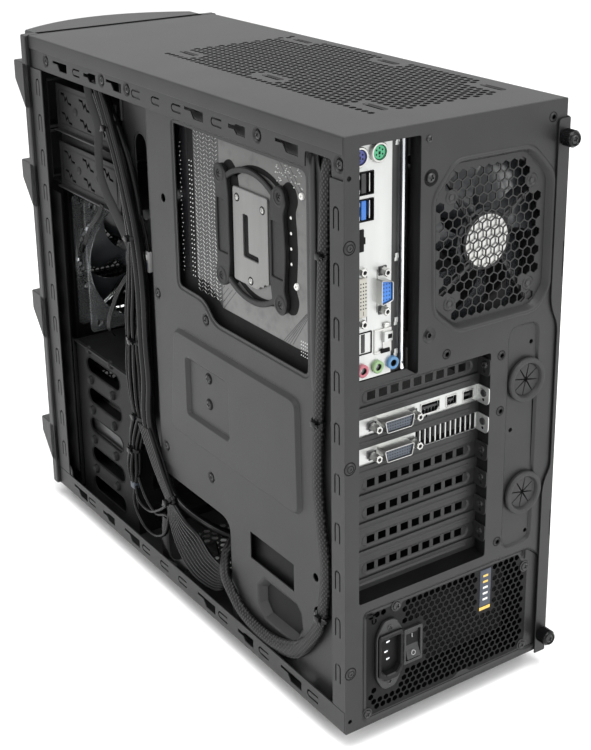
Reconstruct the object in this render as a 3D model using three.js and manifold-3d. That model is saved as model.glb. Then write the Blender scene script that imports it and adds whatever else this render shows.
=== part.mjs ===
// Mid-size desktop computer tower, seen from behind with its cable side open.
// Units are millimetres and +Z is up. +Y points out of the rear panel and +X out of the open cable side.
// The parts are laid out in the chassis frame: X = 0 on the centre plane, Y = 0 on the outside of the
// rear panel, Z = 0 under the bottom panel. The last step moves them so that the origin is on the floor.

import * as THREE from 'three';
import { mergeVertices } from 'three/addons/utils/BufferGeometryUtils.js';
import Module from 'manifold-3d';

const wasm = await Module();
wasm.setup();

// ---- driving dimensions ----

const GAP = 0.3;
const SHEET = 1;
const CHASSIS = { width: 176, height: 405, depth: 436 };
const HALF = CHASSIS.width / 2;
const BEZEL = { halfWidth: 91, halfCore: 79, sideDepth: 25, depth: 54, wall: 2.5 };
const FOOT = { radius: 14, height: 13, x: 62, y: [-34, -400] };

const LIP_DROP = 10.5;
const FLANGE_DROP = 26;
const FLANGE_INSET = 1.2;
const BOTTOM_FLANGE = 16.5;
const SIDE_FLANGE = { rear: 15, front: 21, bottom: 17, top: 378 };

const TRAY = { outer: 81, channelOuter: 72, step: -259, frontEdge: -307 };
const BOARD = { back: 74.1, thickness: 1.6, rear: -13, width: 244, height: 305, top: 400.5 };
const IO = { x: [31.2, 76.8], z: [245.4, 398] };
const CARD_PLANE = -10.6;
const SLOT = { count: 7, pitch: 20.32, height: 18.4, lowest: 102, x: [-29.3, 76], sheet: 0.8, opening: 12.3, tab: 11.5 };
const SLOT_OPENING = { x: [-29.6, 76.8], z: [94.6, 244.2] };

const FAN = { size: 120, depth: 25, bore: 57, hub: 20, holePitch: 105 };
const REAR_FAN = { x: -28.4, z: 319.5, size: 116.5, recess: 4 };
const FRONT_FAN = { x: 0, z: 207 };
const PSU = { x: [-74.3, 75.7], z: [2.1, 88.1], depth: 160 };
const BAYS = { count: 2, pitch: 43.2, bottom: 281.5, halfWidth: 74.5 };
const DRIVE_CAGE = { x: 75, y: [-411, -309.5], top: 145 };
const SIDE_PANEL = { gap: 0.3, rear: 1.8, bottom: -2, top: 393 };

// ---- materials ----

const paint = (color, roughness, metalness) => new THREE.MeshStandardMaterial({ color, roughness, metalness });
const steel = () => paint(0x2b2c2d, 0.55, 0.6);
const plainSteel = () => paint(0xc9cbcc, 0.3, 0.9);
const blackPlastic = () => paint(0x17181a, 0.45, 0);
const clearPlastic = () => paint(0x3a3c3f, 0.15, 0);
const darkPlastic = () => paint(0x0f1011, 0.6, 0);
const rubber = () => paint(0x141414, 0.8, 0);
const circuitBoard = () => paint(0x14171a, 0.5, 0);
const aluminium = () => paint(0xb4b7ba, 0.35, 0.9);
const cable = () => paint(0x101112, 0.5, 0);

// ---- solids ----

function toSolid(geometry) {
  const bare = geometry.clone();
  bare.deleteAttribute('normal');
  bare.deleteAttribute('uv');
  const merged = mergeVertices(bare, 1e-5);
  return new wasm.Manifold(new wasm.Mesh({
    numProp: 3,
    vertProperties: new Float32Array(merged.attributes.position.array),
    triVerts: new Uint32Array(merged.index.array),
  }));
}

function toGeometry(solid) {
  const mesh = solid.getMesh();
  const geometry = new THREE.BufferGeometry();
  geometry.setAttribute('position', new THREE.BufferAttribute(mesh.vertProperties, 3));
  geometry.setIndex(new THREE.BufferAttribute(mesh.triVerts, 1));
  geometry.computeVertexNormals();
  return geometry;
}

const joined = (parts) => toGeometry(parts.map(toSolid).reduce((sum, part) => sum.add(part)));

function cut(body, tools) {
  const holes = tools.map(toSolid).reduce((sum, tool) => sum.add(tool));
  return toGeometry(toSolid(body).subtract(holes));
}

function box([x0, x1], [y0, y1], [z0, z1]) {
  const geometry = new THREE.BoxGeometry(x1 - x0, y1 - y0, z1 - z0);
  return geometry.translate((x0 + x1) / 2, (y0 + y1) / 2, (z0 + z1) / 2);
}

// Outlines are lists of [u, v] points.
const rect = ([u0, u1], [v0, v1]) => [[u0, v0], [u1, v0], [u1, v1], [u0, v1]];

function roundRect([u0, u1], [v0, v1], radius, steps = 3) {
  const corners = [[u1 - radius, v0 + radius, -90], [u1 - radius, v1 - radius, 0],
    [u0 + radius, v1 - radius, 90], [u0 + radius, v0 + radius, 180]];
  return corners.flatMap(([u, v, start]) => arc(u, v, radius, start, start + 90, steps));
}

function arc(u, v, radius, from, to, steps) {
  return Array.from({ length: steps + 1 }, (_, i) => {
    const angle = THREE.MathUtils.degToRad(from + ((to - from) * i) / steps);
    return [u + radius * Math.cos(angle), v + radius * Math.sin(angle)];
  });
}

const circle = (u, v, radius, sides = 16) => arc(u, v, radius, 0, 360, sides).slice(0, sides);
const hexagon = (u, v, radius) => arc(u, v, radius, 30, 330, 5);

// Extrudes an outline with holes through a plane: XY goes from..to along Z, XZ along Y and YZ along X.
const PLANES = {
  XY: [[1, 0, 0], [0, 1, 0], [0, 0, 1]],
  XZ: [[1, 0, 0], [0, 0, 1], [0, -1, 0]],
  YZ: [[0, 1, 0], [0, 0, 1], [1, 0, 0]],
};

function plate(plane, outline, holes, from, to) {
  const shape = new THREE.Shape(outline.map(([u, v]) => new THREE.Vector2(u, v)));
  shape.holes = holes.map((hole) => new THREE.Path(hole.map(([u, v]) => new THREE.Vector2(u, v))));
  const geometry = new THREE.ExtrudeGeometry(shape, { depth: to - from, bevelEnabled: false, steps: 1 });
  geometry.translate(0, 0, plane === 'XZ' ? -to : from);
  const axes = PLANES[plane].map((axis) => new THREE.Vector3(...axis));
  return geometry.applyMatrix4(new THREE.Matrix4().makeBasis(...axes));
}

// A turned part about the Y axis through (x, z): profile is a list of [radius, y].
function turnedY(x, z, profile, sides = 20) {
  const points = profile.map(([radius, y]) => new THREE.Vector2(radius, y));
  return new THREE.LatheGeometry(points, sides).translate(x, 0, z);
}

function tube(points, radius, sides = 8, steps = 26) {
  const curve = new THREE.CatmullRomCurve3(points.map((point) => new THREE.Vector3(...point)), false, 'centripetal');
  const section = new THREE.Shape(circle(0, 0, radius, sides).map(([u, v]) => new THREE.Vector2(u, v)));
  return new THREE.ExtrudeGeometry(section, { steps, bevelEnabled: false, extrudePath: curve });
}

// A staggered grid of hole centres inside a rectangle.
function staggered([u0, u1], [v0, v1], pitch) {
  const rows = Math.floor((v1 - v0) / (pitch * 0.866)) + 1;
  const start = (v0 + v1 - (rows - 1) * pitch * 0.866) / 2;
  return Array.from({ length: rows }, (_, row) => {
    const shift = row % 2 ? pitch / 2 : 0;
    const count = Math.floor((u1 - u0 - shift) / pitch) + 1;
    return Array.from({ length: count }, (_, i) => [u0 + shift + i * pitch, start + row * pitch * 0.866]);
  }).flat();
}

const model = new THREE.Group();

function add(name, material, geometry) {
  const mesh = new THREE.Mesh(geometry, material);
  mesh.name = name;
  model.add(mesh);
}

// ---- chassis sheets ----

const KEY_SLOTS = [[-393, -368], [-338, -318], [-301, -277], [-185, -160], [-128, -108], [-73, -49]];

// Slots for the cover's hooks, cut through one side flange.
function hookSlots(side, [z0, z1]) {
  const x = side > 0 ? [HALF - 4, HALF + 1] : [-HALF - 1, 4 - HALF];
  return KEY_SLOTS.map((y) => box(x, y, [z0, z1]));
}

function topPanel() {
  const top = CHASSIS.height;
  const lip = top - LIP_DROP;
  const flange = HALF - FLANGE_INSET;
  const right = [[HALF, lip], [flange, lip], [flange, top - FLANGE_DROP], [flange - SHEET, top - FLANGE_DROP],
    [flange - SHEET, lip + SHEET], [HALF - SHEET, lip + SHEET], [HALF - SHEET, top - SHEET]];
  const left = right.map(([x, z]) => [-x, z]).reverse();
  const outline = [[-HALF, top], [HALF, top], ...right, ...left];
  const channel = plate('XZ', outline, [], GAP + SHEET - CHASSIS.depth, -SHEET - GAP);
  const vents = staggered([-74, 30], [-300, -42], 20)
    .map(([x, y]) => plate('XY', hexagon(x, y, 9), [], top - 3, top + 1));
  const cableNotch = box([HALF - 4, HALF + 1], [-42, -15], [top - FLANGE_DROP - 1, 391]);
  return cut(channel, [...vents, ...hookSlots(1, [384, 390]), ...hookSlots(-1, [384, 390]), cableNotch]);
}

function bottomPanel() {
  const outline = [[-HALF, 0], [HALF, 0], [HALF, BOTTOM_FLANGE], [HALF - SHEET, BOTTOM_FLANGE],
    [HALF - SHEET, SHEET], [SHEET - HALF, SHEET], [SHEET - HALF, BOTTOM_FLANGE], [-HALF, BOTTOM_FLANGE]];
  const channel = plate('XZ', outline, [], GAP + SHEET - CHASSIS.depth, -SHEET - GAP);
  const supplyVent = staggered([-48, 48], [-140, -40], 20)
    .map(([x, y]) => plate('XY', hexagon(x, y, 9), [], -1, 2));
  return cut(channel, [...supplyVent, ...hookSlots(1, [3, 9]), ...hookSlots(-1, [3, 9])]);
}

function sideStrip(side, y) {
  const x = side > 0 ? [HALF + GAP - SHEET, HALF] : [-HALF, SHEET - HALF - GAP];
  return box(x, y, [SIDE_FLANGE.bottom, SIDE_FLANGE.top]);
}

const GRILLE = [[20, 357], [3, 377.5], [-61, 377.5], [-78, 357], [-78, 282], [-66, 267.5], [0, 267.5], [18, 283]];

function rearPanel() {
  const vents = staggered([-66, 8], [282, 362], 18).map(([x, z]) => hexagon(x, z, 8));
  const screwHoles = [[-84, 380.5], [-84, 14]].map(([x, z]) => circle(x, z, 2.4, 8));
  const grommetHoles = GROMMETS.map(([x, z]) => circle(x, z, GROMMET.neck + GAP, 20));
  const supply = rect([-67, 71], [5, 84]);
  const openings = [rect(IO.x, IO.z), rect(SLOT_OPENING.x, SLOT_OPENING.z), supply,
    ...vents, ...screwHoles, ...grommetHoles];
  const sheet = plate('XZ', rect([-HALF, HALF], [0, CHASSIS.height]), openings, -SHEET, 0);
  const recess = [CARD_PLANE, -SHEET / 2];
  const [ioLeft, ioRight] = IO.x;
  const [slotLeft, slotRight] = SLOT_OPENING.x;
  const slots = Array.from({ length: SLOT.count }, (_, index) => {
    const middle = slotBottom(index) + SLOT.height / 2;
    return rect([slotLeft + GAP / 2, slotRight - 3], [middle - SLOT.opening / 2, middle + SLOT.opening / 2]);
  });
  const slotFloor = rect([slotLeft - SHEET, slotRight + SHEET], [SLOT_OPENING.z[0] - SHEET, SLOT_OPENING.z[1] + SHEET]);
  const walls = [
    plate('XZ', slotFloor, slots, CARD_PLANE - SHEET, CARD_PLANE),
    box([ioLeft - SHEET, ioLeft], recess, [IO.z[0] - SHEET, IO.z[1] + SHEET]),
    box([ioLeft - SHEET, ioRight + SHEET], recess, [IO.z[1], IO.z[1] + SHEET]),
    box([ioRight, ioRight + SHEET], recess, [SLOT_OPENING.z[0] - SHEET, IO.z[1] + SHEET]),
    box([slotLeft - SHEET, slotLeft], recess, [SLOT_OPENING.z[0] - SHEET, SLOT_OPENING.z[1] + SHEET]),
    box([slotLeft - SHEET, slotRight + SHEET], recess, [SLOT_OPENING.z[0] - SHEET, SLOT_OPENING.z[0]]),
    box([slotLeft - SHEET, slotRight + SHEET], recess, [SLOT_OPENING.z[1], SLOT_OPENING.z[1] + SHEET]),
    sideStrip(1, [-SIDE_FLANGE.rear, -SHEET / 2]),
    sideStrip(-1, [-SIDE_FLANGE.rear, -SHEET / 2]),
  ];
  return joined([sheet, ...walls]);
}

function frontFrame() {
  const front = -CHASSIS.depth;
  const bayTop = BAYS.bottom + BAYS.count * BAYS.pitch;
  const openings = [
    rect([-BAYS.halfWidth, BAYS.halfWidth], [BAYS.bottom, bayTop]),
    circle(FRONT_FAN.x, FRONT_FAN.z, FAN.bore, 24),
    circle(0, 78, FAN.bore, 24),
    roundRect([-40, 40], [380, 398], 4),
  ];
  const sheet = plate('XZ', rect([-HALF, HALF], [0, CHASSIS.height]), openings, front, front + SHEET);
  const strip = [front + SHEET / 2, front + SIDE_FLANGE.front];
  return joined([sheet, sideStrip(1, strip), sideStrip(-1, strip)]);
}

// ---- motherboard tray and drive cages ----

const STANDOFFS = [[-24, 110], [-24, 232], [-45, 391], [-165, 108], [-165, 230], [-165, 391],
  [-250, 108], [-250, 230], [-250, 391]];

function motherboardTray() {
  const { outer, channelOuter, step, frontEdge } = TRAY;
  const rear = -SHEET - GAP - 0.2;
  const outline = [[outer, rear], [outer, step - SHEET], [channelOuter, step - SHEET], [channelOuter, frontEdge],
    [channelOuter - SHEET, frontEdge], [channelOuter - SHEET, step], [outer - SHEET, step], [outer - SHEET, rear]];
  const wall = plate('XY', outline.reverse(), [], SHEET + GAP, CHASSIS.height - SHEET - GAP);
  const [inside, outside] = [channelOuter - 4, outer + 2];
  const coolerWindow = [[-213, 373], [-213, 253], [-178, 252], [-165, 238.5], [-50, 238.5], [-50, 373]];
  const holes = [
    plate('YZ', coolerWindow.reverse(), [], inside, outside),
    plate('YZ', roundRect([-287, -270], [284, 351], 8), [], inside, outside),
    plate('YZ', roundRect([frontEdge - 5, -152], [8, 88], 12), [], inside, outside),
    plate('YZ', roundRect([-124, -69], [71.5, 92.5], 2), [], inside, outside),
    plate('YZ', roundRect([-36, -9], [372, 397], 4), [], inside, outside),
  ];
  const posts = STANDOFFS.map(([y, z]) => plate('YZ', circle(y, z, 3, 6), [], BOARD.back + GAP, outer - SHEET / 2));
  return joined([cut(wall, holes), ...posts]);
}

function opticalBayCage() {
  const { count, pitch, bottom, halfWidth } = BAYS;
  const y = [GAP + SHEET - CHASSIS.depth, TRAY.frontEdge - 2.5];
  const top = bottom + count * pitch;
  const outer = halfWidth + SHEET;
  const outline = [[-outer, top], [-outer, bottom], [outer, bottom], [outer, top], [halfWidth, top],
    [halfWidth, bottom + SHEET], [-halfWidth, bottom + SHEET], [-halfWidth, top]];
  const cradle = plate('XZ', outline, [], ...y);
  const slots = Array.from({ length: count }, (_, i) => {
    const z = bottom + (i + 0.5) * pitch;
    return [box([-outer - 1, outer + 1], [-410, -385], [z - 7, z + 7]),
      box([-outer - 1, outer + 1], [-352, -327], [z - 7, z + 7])];
  }).flat();
  return cut(cradle, slots);
}

const DRIVE_BAYS = { count: 5, pitch: 28, bottom: 3.5 };

function driveCage() {
  const { x, y: [front, rear], top } = DRIVE_CAGE;
  const outline = rect([-x, x], [SHEET + GAP, top]);
  const hollow = rect([-x - 1, x - SHEET], [SHEET + GAP + SHEET, top - SHEET]);
  const shell = cut(plate('XZ', outline, [], front, rear), [plate('XZ', hollow, [], front + SHEET, rear - SHEET)]);
  const windows = Array.from({ length: DRIVE_BAYS.count }, (_, i) => {
    const z = DRIVE_BAYS.bottom + (i + 0.5) * DRIVE_BAYS.pitch;
    return [plate('YZ', roundRect([front + 24, rear - 18], [z - 7, z + 7], 6.5), [], x - 3, x + 1),
      plate('XZ', roundRect([-60, 60], [z - 8, z + 8], 4), [], front - 1, rear + 1)];
  }).flat();
  return cut(shell, windows);
}

function hardDrive() {
  const [front, rear] = DRIVE_CAGE.y;
  const z = DRIVE_BAYS.bottom + 2 * DRIVE_BAYS.pitch + 1;
  const middle = (front + rear) / 2;
  return joined([
    box([-72, 72], [middle - 49, middle + 49], [z + 5, z + 25]),
    box([-72, 72], [middle - 44, middle + 44], [z + 1, z + 6]),
  ]);
}

// ---- motherboard and what is plugged into it ----

const PCB = [BOARD.back - BOARD.thickness, BOARD.back];
const SOCKET = { y: -121, z: 312 };
const BACKPLATE_HOLES = 36.5;

// A square frame with a rounded ear at each corner and a shallow waist between the ears.
function backplateOutline() {
  const half = BACKPLATE_HOLES;
  const quarter = [...arc(half, half, 6.5, -45, 135, 6), [half - 14, half - 5], [14 - half, half - 5]];
  return [0, 90, 180, 270].flatMap((turn) => {
    const angle = THREE.MathUtils.degToRad(turn);
    const [c, s] = [Math.cos(angle), Math.sin(angle)];
    return quarter.map(([u, v]) => [SOCKET.y + u * c - v * s, SOCKET.z + u * s + v * c]);
  });
}

function coolerBackplate() {
  const from = BOARD.back + GAP;
  const inner = roundRect([SOCKET.y - 22, SOCKET.y + 22], [SOCKET.z - 25, SOCKET.z + 25], 6);
  return plate('YZ', backplateOutline(), [inner], from, from + 3.2);
}

function socketBackplate() {
  const from = BOARD.back + GAP;
  return plate('YZ', roundRect([SOCKET.y - 20, SOCKET.y + 20], [SOCKET.z - 23, SOCKET.z + 23], 5), [], from, from + 2);
}

function motherboard() {
  const top = BOARD.top;
  const front = BOARD.rear - BOARD.width;
  const sheet = box(PCB, [front, BOARD.rear], [top - BOARD.height, top]);
  const face = [PCB[0] - 12, PCB[0] + 0.5];
  const connectors = Array.from({ length: 4 }, (_, i) => {
    const z = SLOT.lowest + 6 + i * SLOT.pitch * 1.5;
    return box([PCB[0] - 10, PCB[0] + 0.5], [-150, -62], [z, z + 7]);
  });
  return joined([
    sheet,
    box([PCB[0] - 2, PCB[0] + 0.5], [SOCKET.y - 21, SOCKET.y + 21], [SOCKET.z - 21, SOCKET.z + 21]),
    box([PCB[0] - 11, PCB[0] + 0.5], [-190, -160], [126, 156]),
    box(face, [-254, -246], [330, 382]),
    connectors[0],
    connectors[1],
  ]);
}

function memoryModule(index) {
  const y = -206 - index * 19;
  return box([PCB[0] - GAP - 31, PCB[0] - GAP], [y - 1.6, y + 1.6], [250, 383]);
}

// Sockets of the rear connector field, as [x range, z range, how far it stands out, hollow depth].
const PORTS = {
  keyboard_mouse_ports: { x: [46, 71.5], z: [371, 394], out: 5 },
  display_ports: { x: [56, 71], z: [345, 368], out: 2 },
  usb_ports: { x: [56, 71], z: [317, 340], out: 2 },
  video_ports: { x: [48, 71], z: [275, 312], out: 5 },
  network_port: { x: [56, 71], z: [259.5, 273.5], out: 1 },
  audio_jacks: { x: [41, 71], z: [248, 257.5], out: 2.5 },
};
const SHIELD = [CARD_PLANE - 1, CARD_PLANE - GAP];

function ioShield() {
  const openings = Object.values(PORTS)
    .map(({ x: [x0, x1], z: [z0, z1] }) => rect([x0 - GAP, x1 + GAP], [z0 - GAP, z1 + GAP]));
  return plate('XZ', rect([IO.x[0] + GAP, IO.x[1] - GAP], [IO.z[0] + GAP, IO.z[1] - GAP]), openings, ...SHIELD);
}

function portBlock({ x, z, out }) {
  const [x0, x1] = x;
  const [z0, z1] = z;
  const mouth = CARD_PLANE + out;
  const body = box(x, [SHIELD[0] - 14, mouth], z);
  const socket = box([x0 + 2, x1 - 2], [mouth - 8, mouth + 1], [z0 + 2, z1 - 2]);
  const tongue = box([(x0 + x1) / 2 - 1, (x0 + x1) / 2 + 1], [mouth - 8.5, mouth - 2], [z0 + 4, z1 - 4]);
  return joined([cut(body, [socket]), tongue]);
}

const slotBottom = (index) => SLOT.lowest + index * SLOT.pitch;

// A card bracket covers one or more slots from inside. Its tabs reach out through the slots to the screws.
const BRACKET = [CARD_PLANE - SHEET - GAP - SLOT.sheet, CARD_PLANE - SHEET - GAP];

function bracket(indices) {
  const bottoms = indices.map(slotBottom);
  const [fold, end] = SLOT.x;
  const sheet = box([fold, end], BRACKET, [bottoms[0], bottoms.at(-1) + SLOT.height]);
  const tabs = bottoms.map((z) => {
    const middle = z + SLOT.height / 2;
    return box([fold, fold + SLOT.sheet], [BRACKET[0], 0.5], [middle - SLOT.tab / 2, middle + SLOT.tab / 2]);
  });
  return joined([sheet, ...tabs]);
}

function slotCover(index) {
  const z = slotBottom(index);
  const vents = Array.from({ length: 8 }, (_, i) => {
    const x = 61.2 - i * 9.3;
    return box([x - 6.2, x], [BRACKET[0] - 1, BRACKET[1] + 1], [z + 5.6, z + 11.1]);
  });
  return cut(bracket([index]), vents);
}

const CARD_SLOTS = [4, 5];
const CARD = { z: slotBottom(CARD_SLOTS[1]) + 15, length: 215 };

function graphicsBracket() {
  const low = slotBottom(CARD_SLOTS[0]);
  const louvres = Array.from({ length: 10 }, (_, i) => {
    const x = 24 - i * 4.8;
    return box([x - 2.4, x], [BRACKET[0] - 1, BRACKET[1] + 1], [low + 4.5, low + 14]);
  });
  const connectors = CARD_SLOTS.map((index) => {
    const z = slotBottom(index) + SLOT.height / 2;
    return box([29, 54], [BRACKET[0] + 0.2, BRACKET[1] + 6], [z - 4.5, z + 4.5]);
  });
  return cut(joined([bracket(CARD_SLOTS), ...connectors]), louvres);
}

function graphicsBoard() {
  const rear = BRACKET[0] - GAP;
  const finger = box([PCB[0] - GAP - 8, PCB[0] - GAP], [-100, -64], [CARD.z, CARD.z + 1.6]);
  const sheet = box([-28, PCB[0] - GAP - 7], [rear - CARD.length, rear], [CARD.z, CARD.z + 1.6]);
  return joined([sheet, finger]);
}

const CARD_FAN = { x: 10, y: -130, radius: 38 };

function graphicsCooler() {
  const rear = BRACKET[0] - GAP;
  const z = [CARD.z - GAP - 30, CARD.z - GAP];
  const shroud = box([-28, 55], [rear - CARD.length, rear], z);
  const well = plate('XY', circle(CARD_FAN.x, CARD_FAN.y, CARD_FAN.radius + 1, 24), [], z[0] - 1, z[1] - 14);
  const ducts = Array.from({ length: 5 }, (_, i) => box([-18 + i * 14, -9 + i * 14], [rear - 60, rear + 1],
    [z[0] + 3, z[1] - 8]));
  return cut(shroud, [well, ...ducts]);
}

function cpuHeatsink() {
  const base = box([PCB[0] - 8, PCB[0] - 2 - GAP], [SOCKET.y - 20, SOCKET.y + 20], [SOCKET.z - 20, SOCKET.z + 20]);
  const core = box([20, PCB[0] - 7], [SOCKET.y - 15, SOCKET.y + 15], [SOCKET.z - 15, SOCKET.z + 15]);
  const fins = Array.from({ length: 11 }, (_, i) => {
    const z = SOCKET.z - 45 + i * 9;
    return box([20, 56], [SOCKET.y - 46, SOCKET.y + 46], [z - 0.6, z + 0.6]);
  });
  const spine = box([20, 56], [SOCKET.y - 6, SOCKET.y + 6], [SOCKET.z - 45, SOCKET.z + 45]);
  return joined([base, core, spine, ...fins]);
}

// ---- fans ----

// One fan about its own +Z axis, centred on its middle plane; the caller turns it into place.
function fanFrame(size, depth, bore, holePitch) {
  const half = size / 2;
  const hole = holePitch / 2;
  const holes = [[1, 1], [-1, 1], [-1, -1], [1, -1]].map(([u, v]) => circle(u * hole, v * hole, 2.2, 8));
  const ring = plate('XY', roundRect([-half, half], [-half, half], 5), [circle(0, 0, bore, 32), ...holes],
    -depth / 2, depth / 2);
  const motor = plate('XY', circle(0, 0, bore * 0.35, 16), [], -depth / 2, 3 - depth / 2);
  const arms = [45, 135, 225, 315].map((angle) => {
    const arm = box([bore * 0.3, bore + 2], [-1.6, 1.6], [-depth / 2, 3 - depth / 2]);
    return arm.rotateZ(THREE.MathUtils.degToRad(angle));
  });
  return joined([ring, motor, ...arms]);
}

function fanRotor(depth, bore, blades) {
  const base = 3 + GAP - depth / 2;
  const top = depth / 2 - 1;
  const hub = plate('XY', circle(0, 0, bore * 0.35, 20), [], base, top);
  const reach = bore - 1.5;
  const vanes = Array.from({ length: blades }, (_, i) => {
    const vane = new THREE.BoxGeometry(reach - bore * 0.3, 1.4, (top - base) * 1.25);
    vane.rotateX(THREE.MathUtils.degToRad(-48));
    vane.translate((reach + bore * 0.3) / 2, 0, (base + top) / 2);
    return vane.rotateZ((i / blades) * 2 * Math.PI);
  });
  return joined([hub, ...vanes]);
}

// Turns a fan so that its motor side faces a direction, and moves it to its centre.
const FACING = {
  rear: (geometry) => geometry.rotateX(Math.PI / 2),
  left: (geometry) => geometry.rotateY(Math.PI / 2),
  up: (geometry) => geometry.rotateX(Math.PI),
};

function addFan(name, facing, centre, { size, depth, bore, holePitch, blades }, framed = true) {
  const place = (geometry) => FACING[facing](geometry).translate(...centre);
  if (framed) {
    add(`${name}_frame`, name === 'front_fan' ? clearPlastic() : blackPlastic(),
      place(fanFrame(size, depth, bore, holePitch)));
  }
  add(`${name}_rotor`, blackPlastic(), place(fanRotor(depth, bore, blades)));
}

// ---- power supply ----

function psuCase() {
  const { x: [x0, x1], z: [z0, z1], depth } = PSU;
  const rear = -SHEET - GAP;
  const front = rear - depth;
  const outer = box([x0, x1], [front, rear], [z0, z1]);
  const inner = box([x0 + SHEET, x1 - SHEET], [front + SHEET, rear - SHEET], [z0 + SHEET, z1 - SHEET]);
  const fanMouth = plate('XY', circle(0, -91, 62, 32), [], z0 - 1, z0 + 2);
  const vents = staggered([-56, 8], [16, 76], 15)
    .map(([x, z]) => plate('XZ', hexagon(x, z, 6.6), [], rear - 3, rear + 1));
  const inlet = box([INLET.x - 11 - GAP, INLET.x + 11 + GAP], [rear - 3, rear + 1], [23.5 - GAP, 75.5 + GAP]);
  const rocker = box([ROCKER.x - 8 - GAP, ROCKER.x + 8 + GAP], [rear - 3, rear + 1],
    [ROCKER.z - 13.5 - GAP, ROCKER.z + 13.5 + GAP]);
  const cableExit = box([20, 60], [front - 1, front + 3], [30, 60]);
  return cut(outer, [inner, fanMouth, ...vents, inlet, rocker, cableExit]);
}

const INLET = { x: 52.5, z: 49.4 };
const ROCKER = { x: 32, z: 48.5, tilt: 8 };
const PSU_FACE = -SHEET - GAP;

function psuInlet() {
  const body = box([INLET.x - 11, INLET.x + 11], [PSU_FACE - 16, PSU_FACE + 1], [23.5, 75.5]);
  const mouth = box([INLET.x - 7.5, INLET.x + 7.5], [PSU_FACE - 14, PSU_FACE + 2], [INLET.z - 12, INLET.z + 12]);
  const pins = [-7, 0, 7].map((z) => box([INLET.x - 1 - (z ? 0 : 3), INLET.x + 1 - (z ? 0 : 3)],
    [PSU_FACE - 15, PSU_FACE - 3], [INLET.z + z - 2, INLET.z + z + 2]));
  return joined([cut(body, [mouth]), ...pins]);
}

function psuSwitchFrame() {
  const outer = rect([ROCKER.x - 8, ROCKER.x + 8], [ROCKER.z - 13.5, ROCKER.z + 13.5]);
  const window = rect([ROCKER.x - 6, ROCKER.x + 6], [ROCKER.z - 11.5, ROCKER.z + 11.5]);
  return plate('XZ', outer, [window], PSU_FACE - 10, PSU_FACE + 1);
}

// The rocker turns about X. It rests with its upper end pressed in.
function psuRocker() {
  const profile = [[-10, 2.5], [-10, -2], [0, -5], [10, -2], [10, 2.5], [0, 1]];
  const rocker = plate('YZ', profile.map(([z, y]) => [y, z]).reverse(), [], -5.4, 5.4);
  rocker.rotateX(THREE.MathUtils.degToRad(ROCKER.tilt));
  return rocker.translate(ROCKER.x, PSU_FACE - 1, ROCKER.z);
}

// ---- rear fittings ----

const GROMMET = { flange: 15.5, neck: 13.2, bore: 3 };
const GROMMETS = [[-61.5, 217.3], [-62.6, 133]];

function grommet([x, z]) {
  const { flange, neck, bore } = GROMMET;
  const profile = [[bore, -1.4], [neck - 2, -1.4], [neck - 2, -3], [neck + 1, -3], [neck + 1, -1.3], [neck, -1.3],
    [neck, 0.3], [flange, 0.3], [flange, 1.2], [neck - 2.5, 1.6], [neck - 3, 0], [bore, 0], [bore, -1.4]];
  return turnedY(x, z, profile, 24);
}

const THUMBSCREWS = { upper: [-84, 380.5], lower: [-84, 14] };

function thumbscrew([x, z]) {
  const seat = SIDE_PANEL.rear + GAP;
  const profile = [[0, -7], [1.7, -7], [1.7, seat], [6.4, seat], [6.4, seat + 9], [5, seat + 11], [0, seat + 11]];
  return turnedY(x, z, profile, 16);
}

function leftSidePanel() {
  const outer = -HALF - SIDE_PANEL.gap - SHEET;
  const { rear, bottom, top } = SIDE_PANEL;
  const flangeInner = rear - SHEET;
  const outline = [[outer, GAP - CHASSIS.depth], [outer + SHEET, GAP - CHASSIS.depth], [outer + SHEET, flangeInner],
    [-79.5, flangeInner], [-79.5, rear], [outer, rear]];
  const sheet = plate('XY', outline, [], bottom, top);
  const holes = Object.values(THUMBSCREWS).map(([x, z]) => plate('XZ', circle(x, z, 2.2, 8), [], -1, rear + 1));
  return cut(sheet, holes);
}

// ---- front bezel ----

const BEZEL_BACK = -CHASSIS.depth - GAP;
// Each rib is given by its lower and upper edge; below the lower edge it slopes back to the base.
const BEZEL_RIBS = [[366, 382], [281, 297], [162, 179], [44, 58]];
const RIB_SLOPE = 22;
const POWER = { x: 0, z: 388.5, width: 30, height: 11 };
const RESET = { x: 27, z: 388.5, width: 10, height: 6 };
const FRONT_PORTS = { x: -37, z: 388.5, width: 32, height: 9 };
const bayZ = (index) => BAYS.bottom + index * BAYS.pitch;

// The front face bows out in plan: depth at the centre, sideDepth at the edges.
function bowed(inset, halfWidth, back) {
  const steps = 10;
  const { depth, sideDepth, halfCore } = BEZEL;
  const front = Array.from({ length: steps + 1 }, (_, i) => {
    const x = -halfWidth + (2 * halfWidth * i) / steps;
    return [x, BEZEL_BACK - depth + inset + (depth - sideDepth) * (x / halfCore) ** 2];
  });
  return [...front, [halfWidth, back], [-halfWidth, back]];
}

function controlPocket({ x, z, width, height }) {
  return box([x - width / 2 - GAP, x + width / 2 + GAP], [BEZEL_BACK - 60, BEZEL_BACK - 35],
    [z - height / 2 - GAP, z + height / 2 + GAP]);
}

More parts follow.
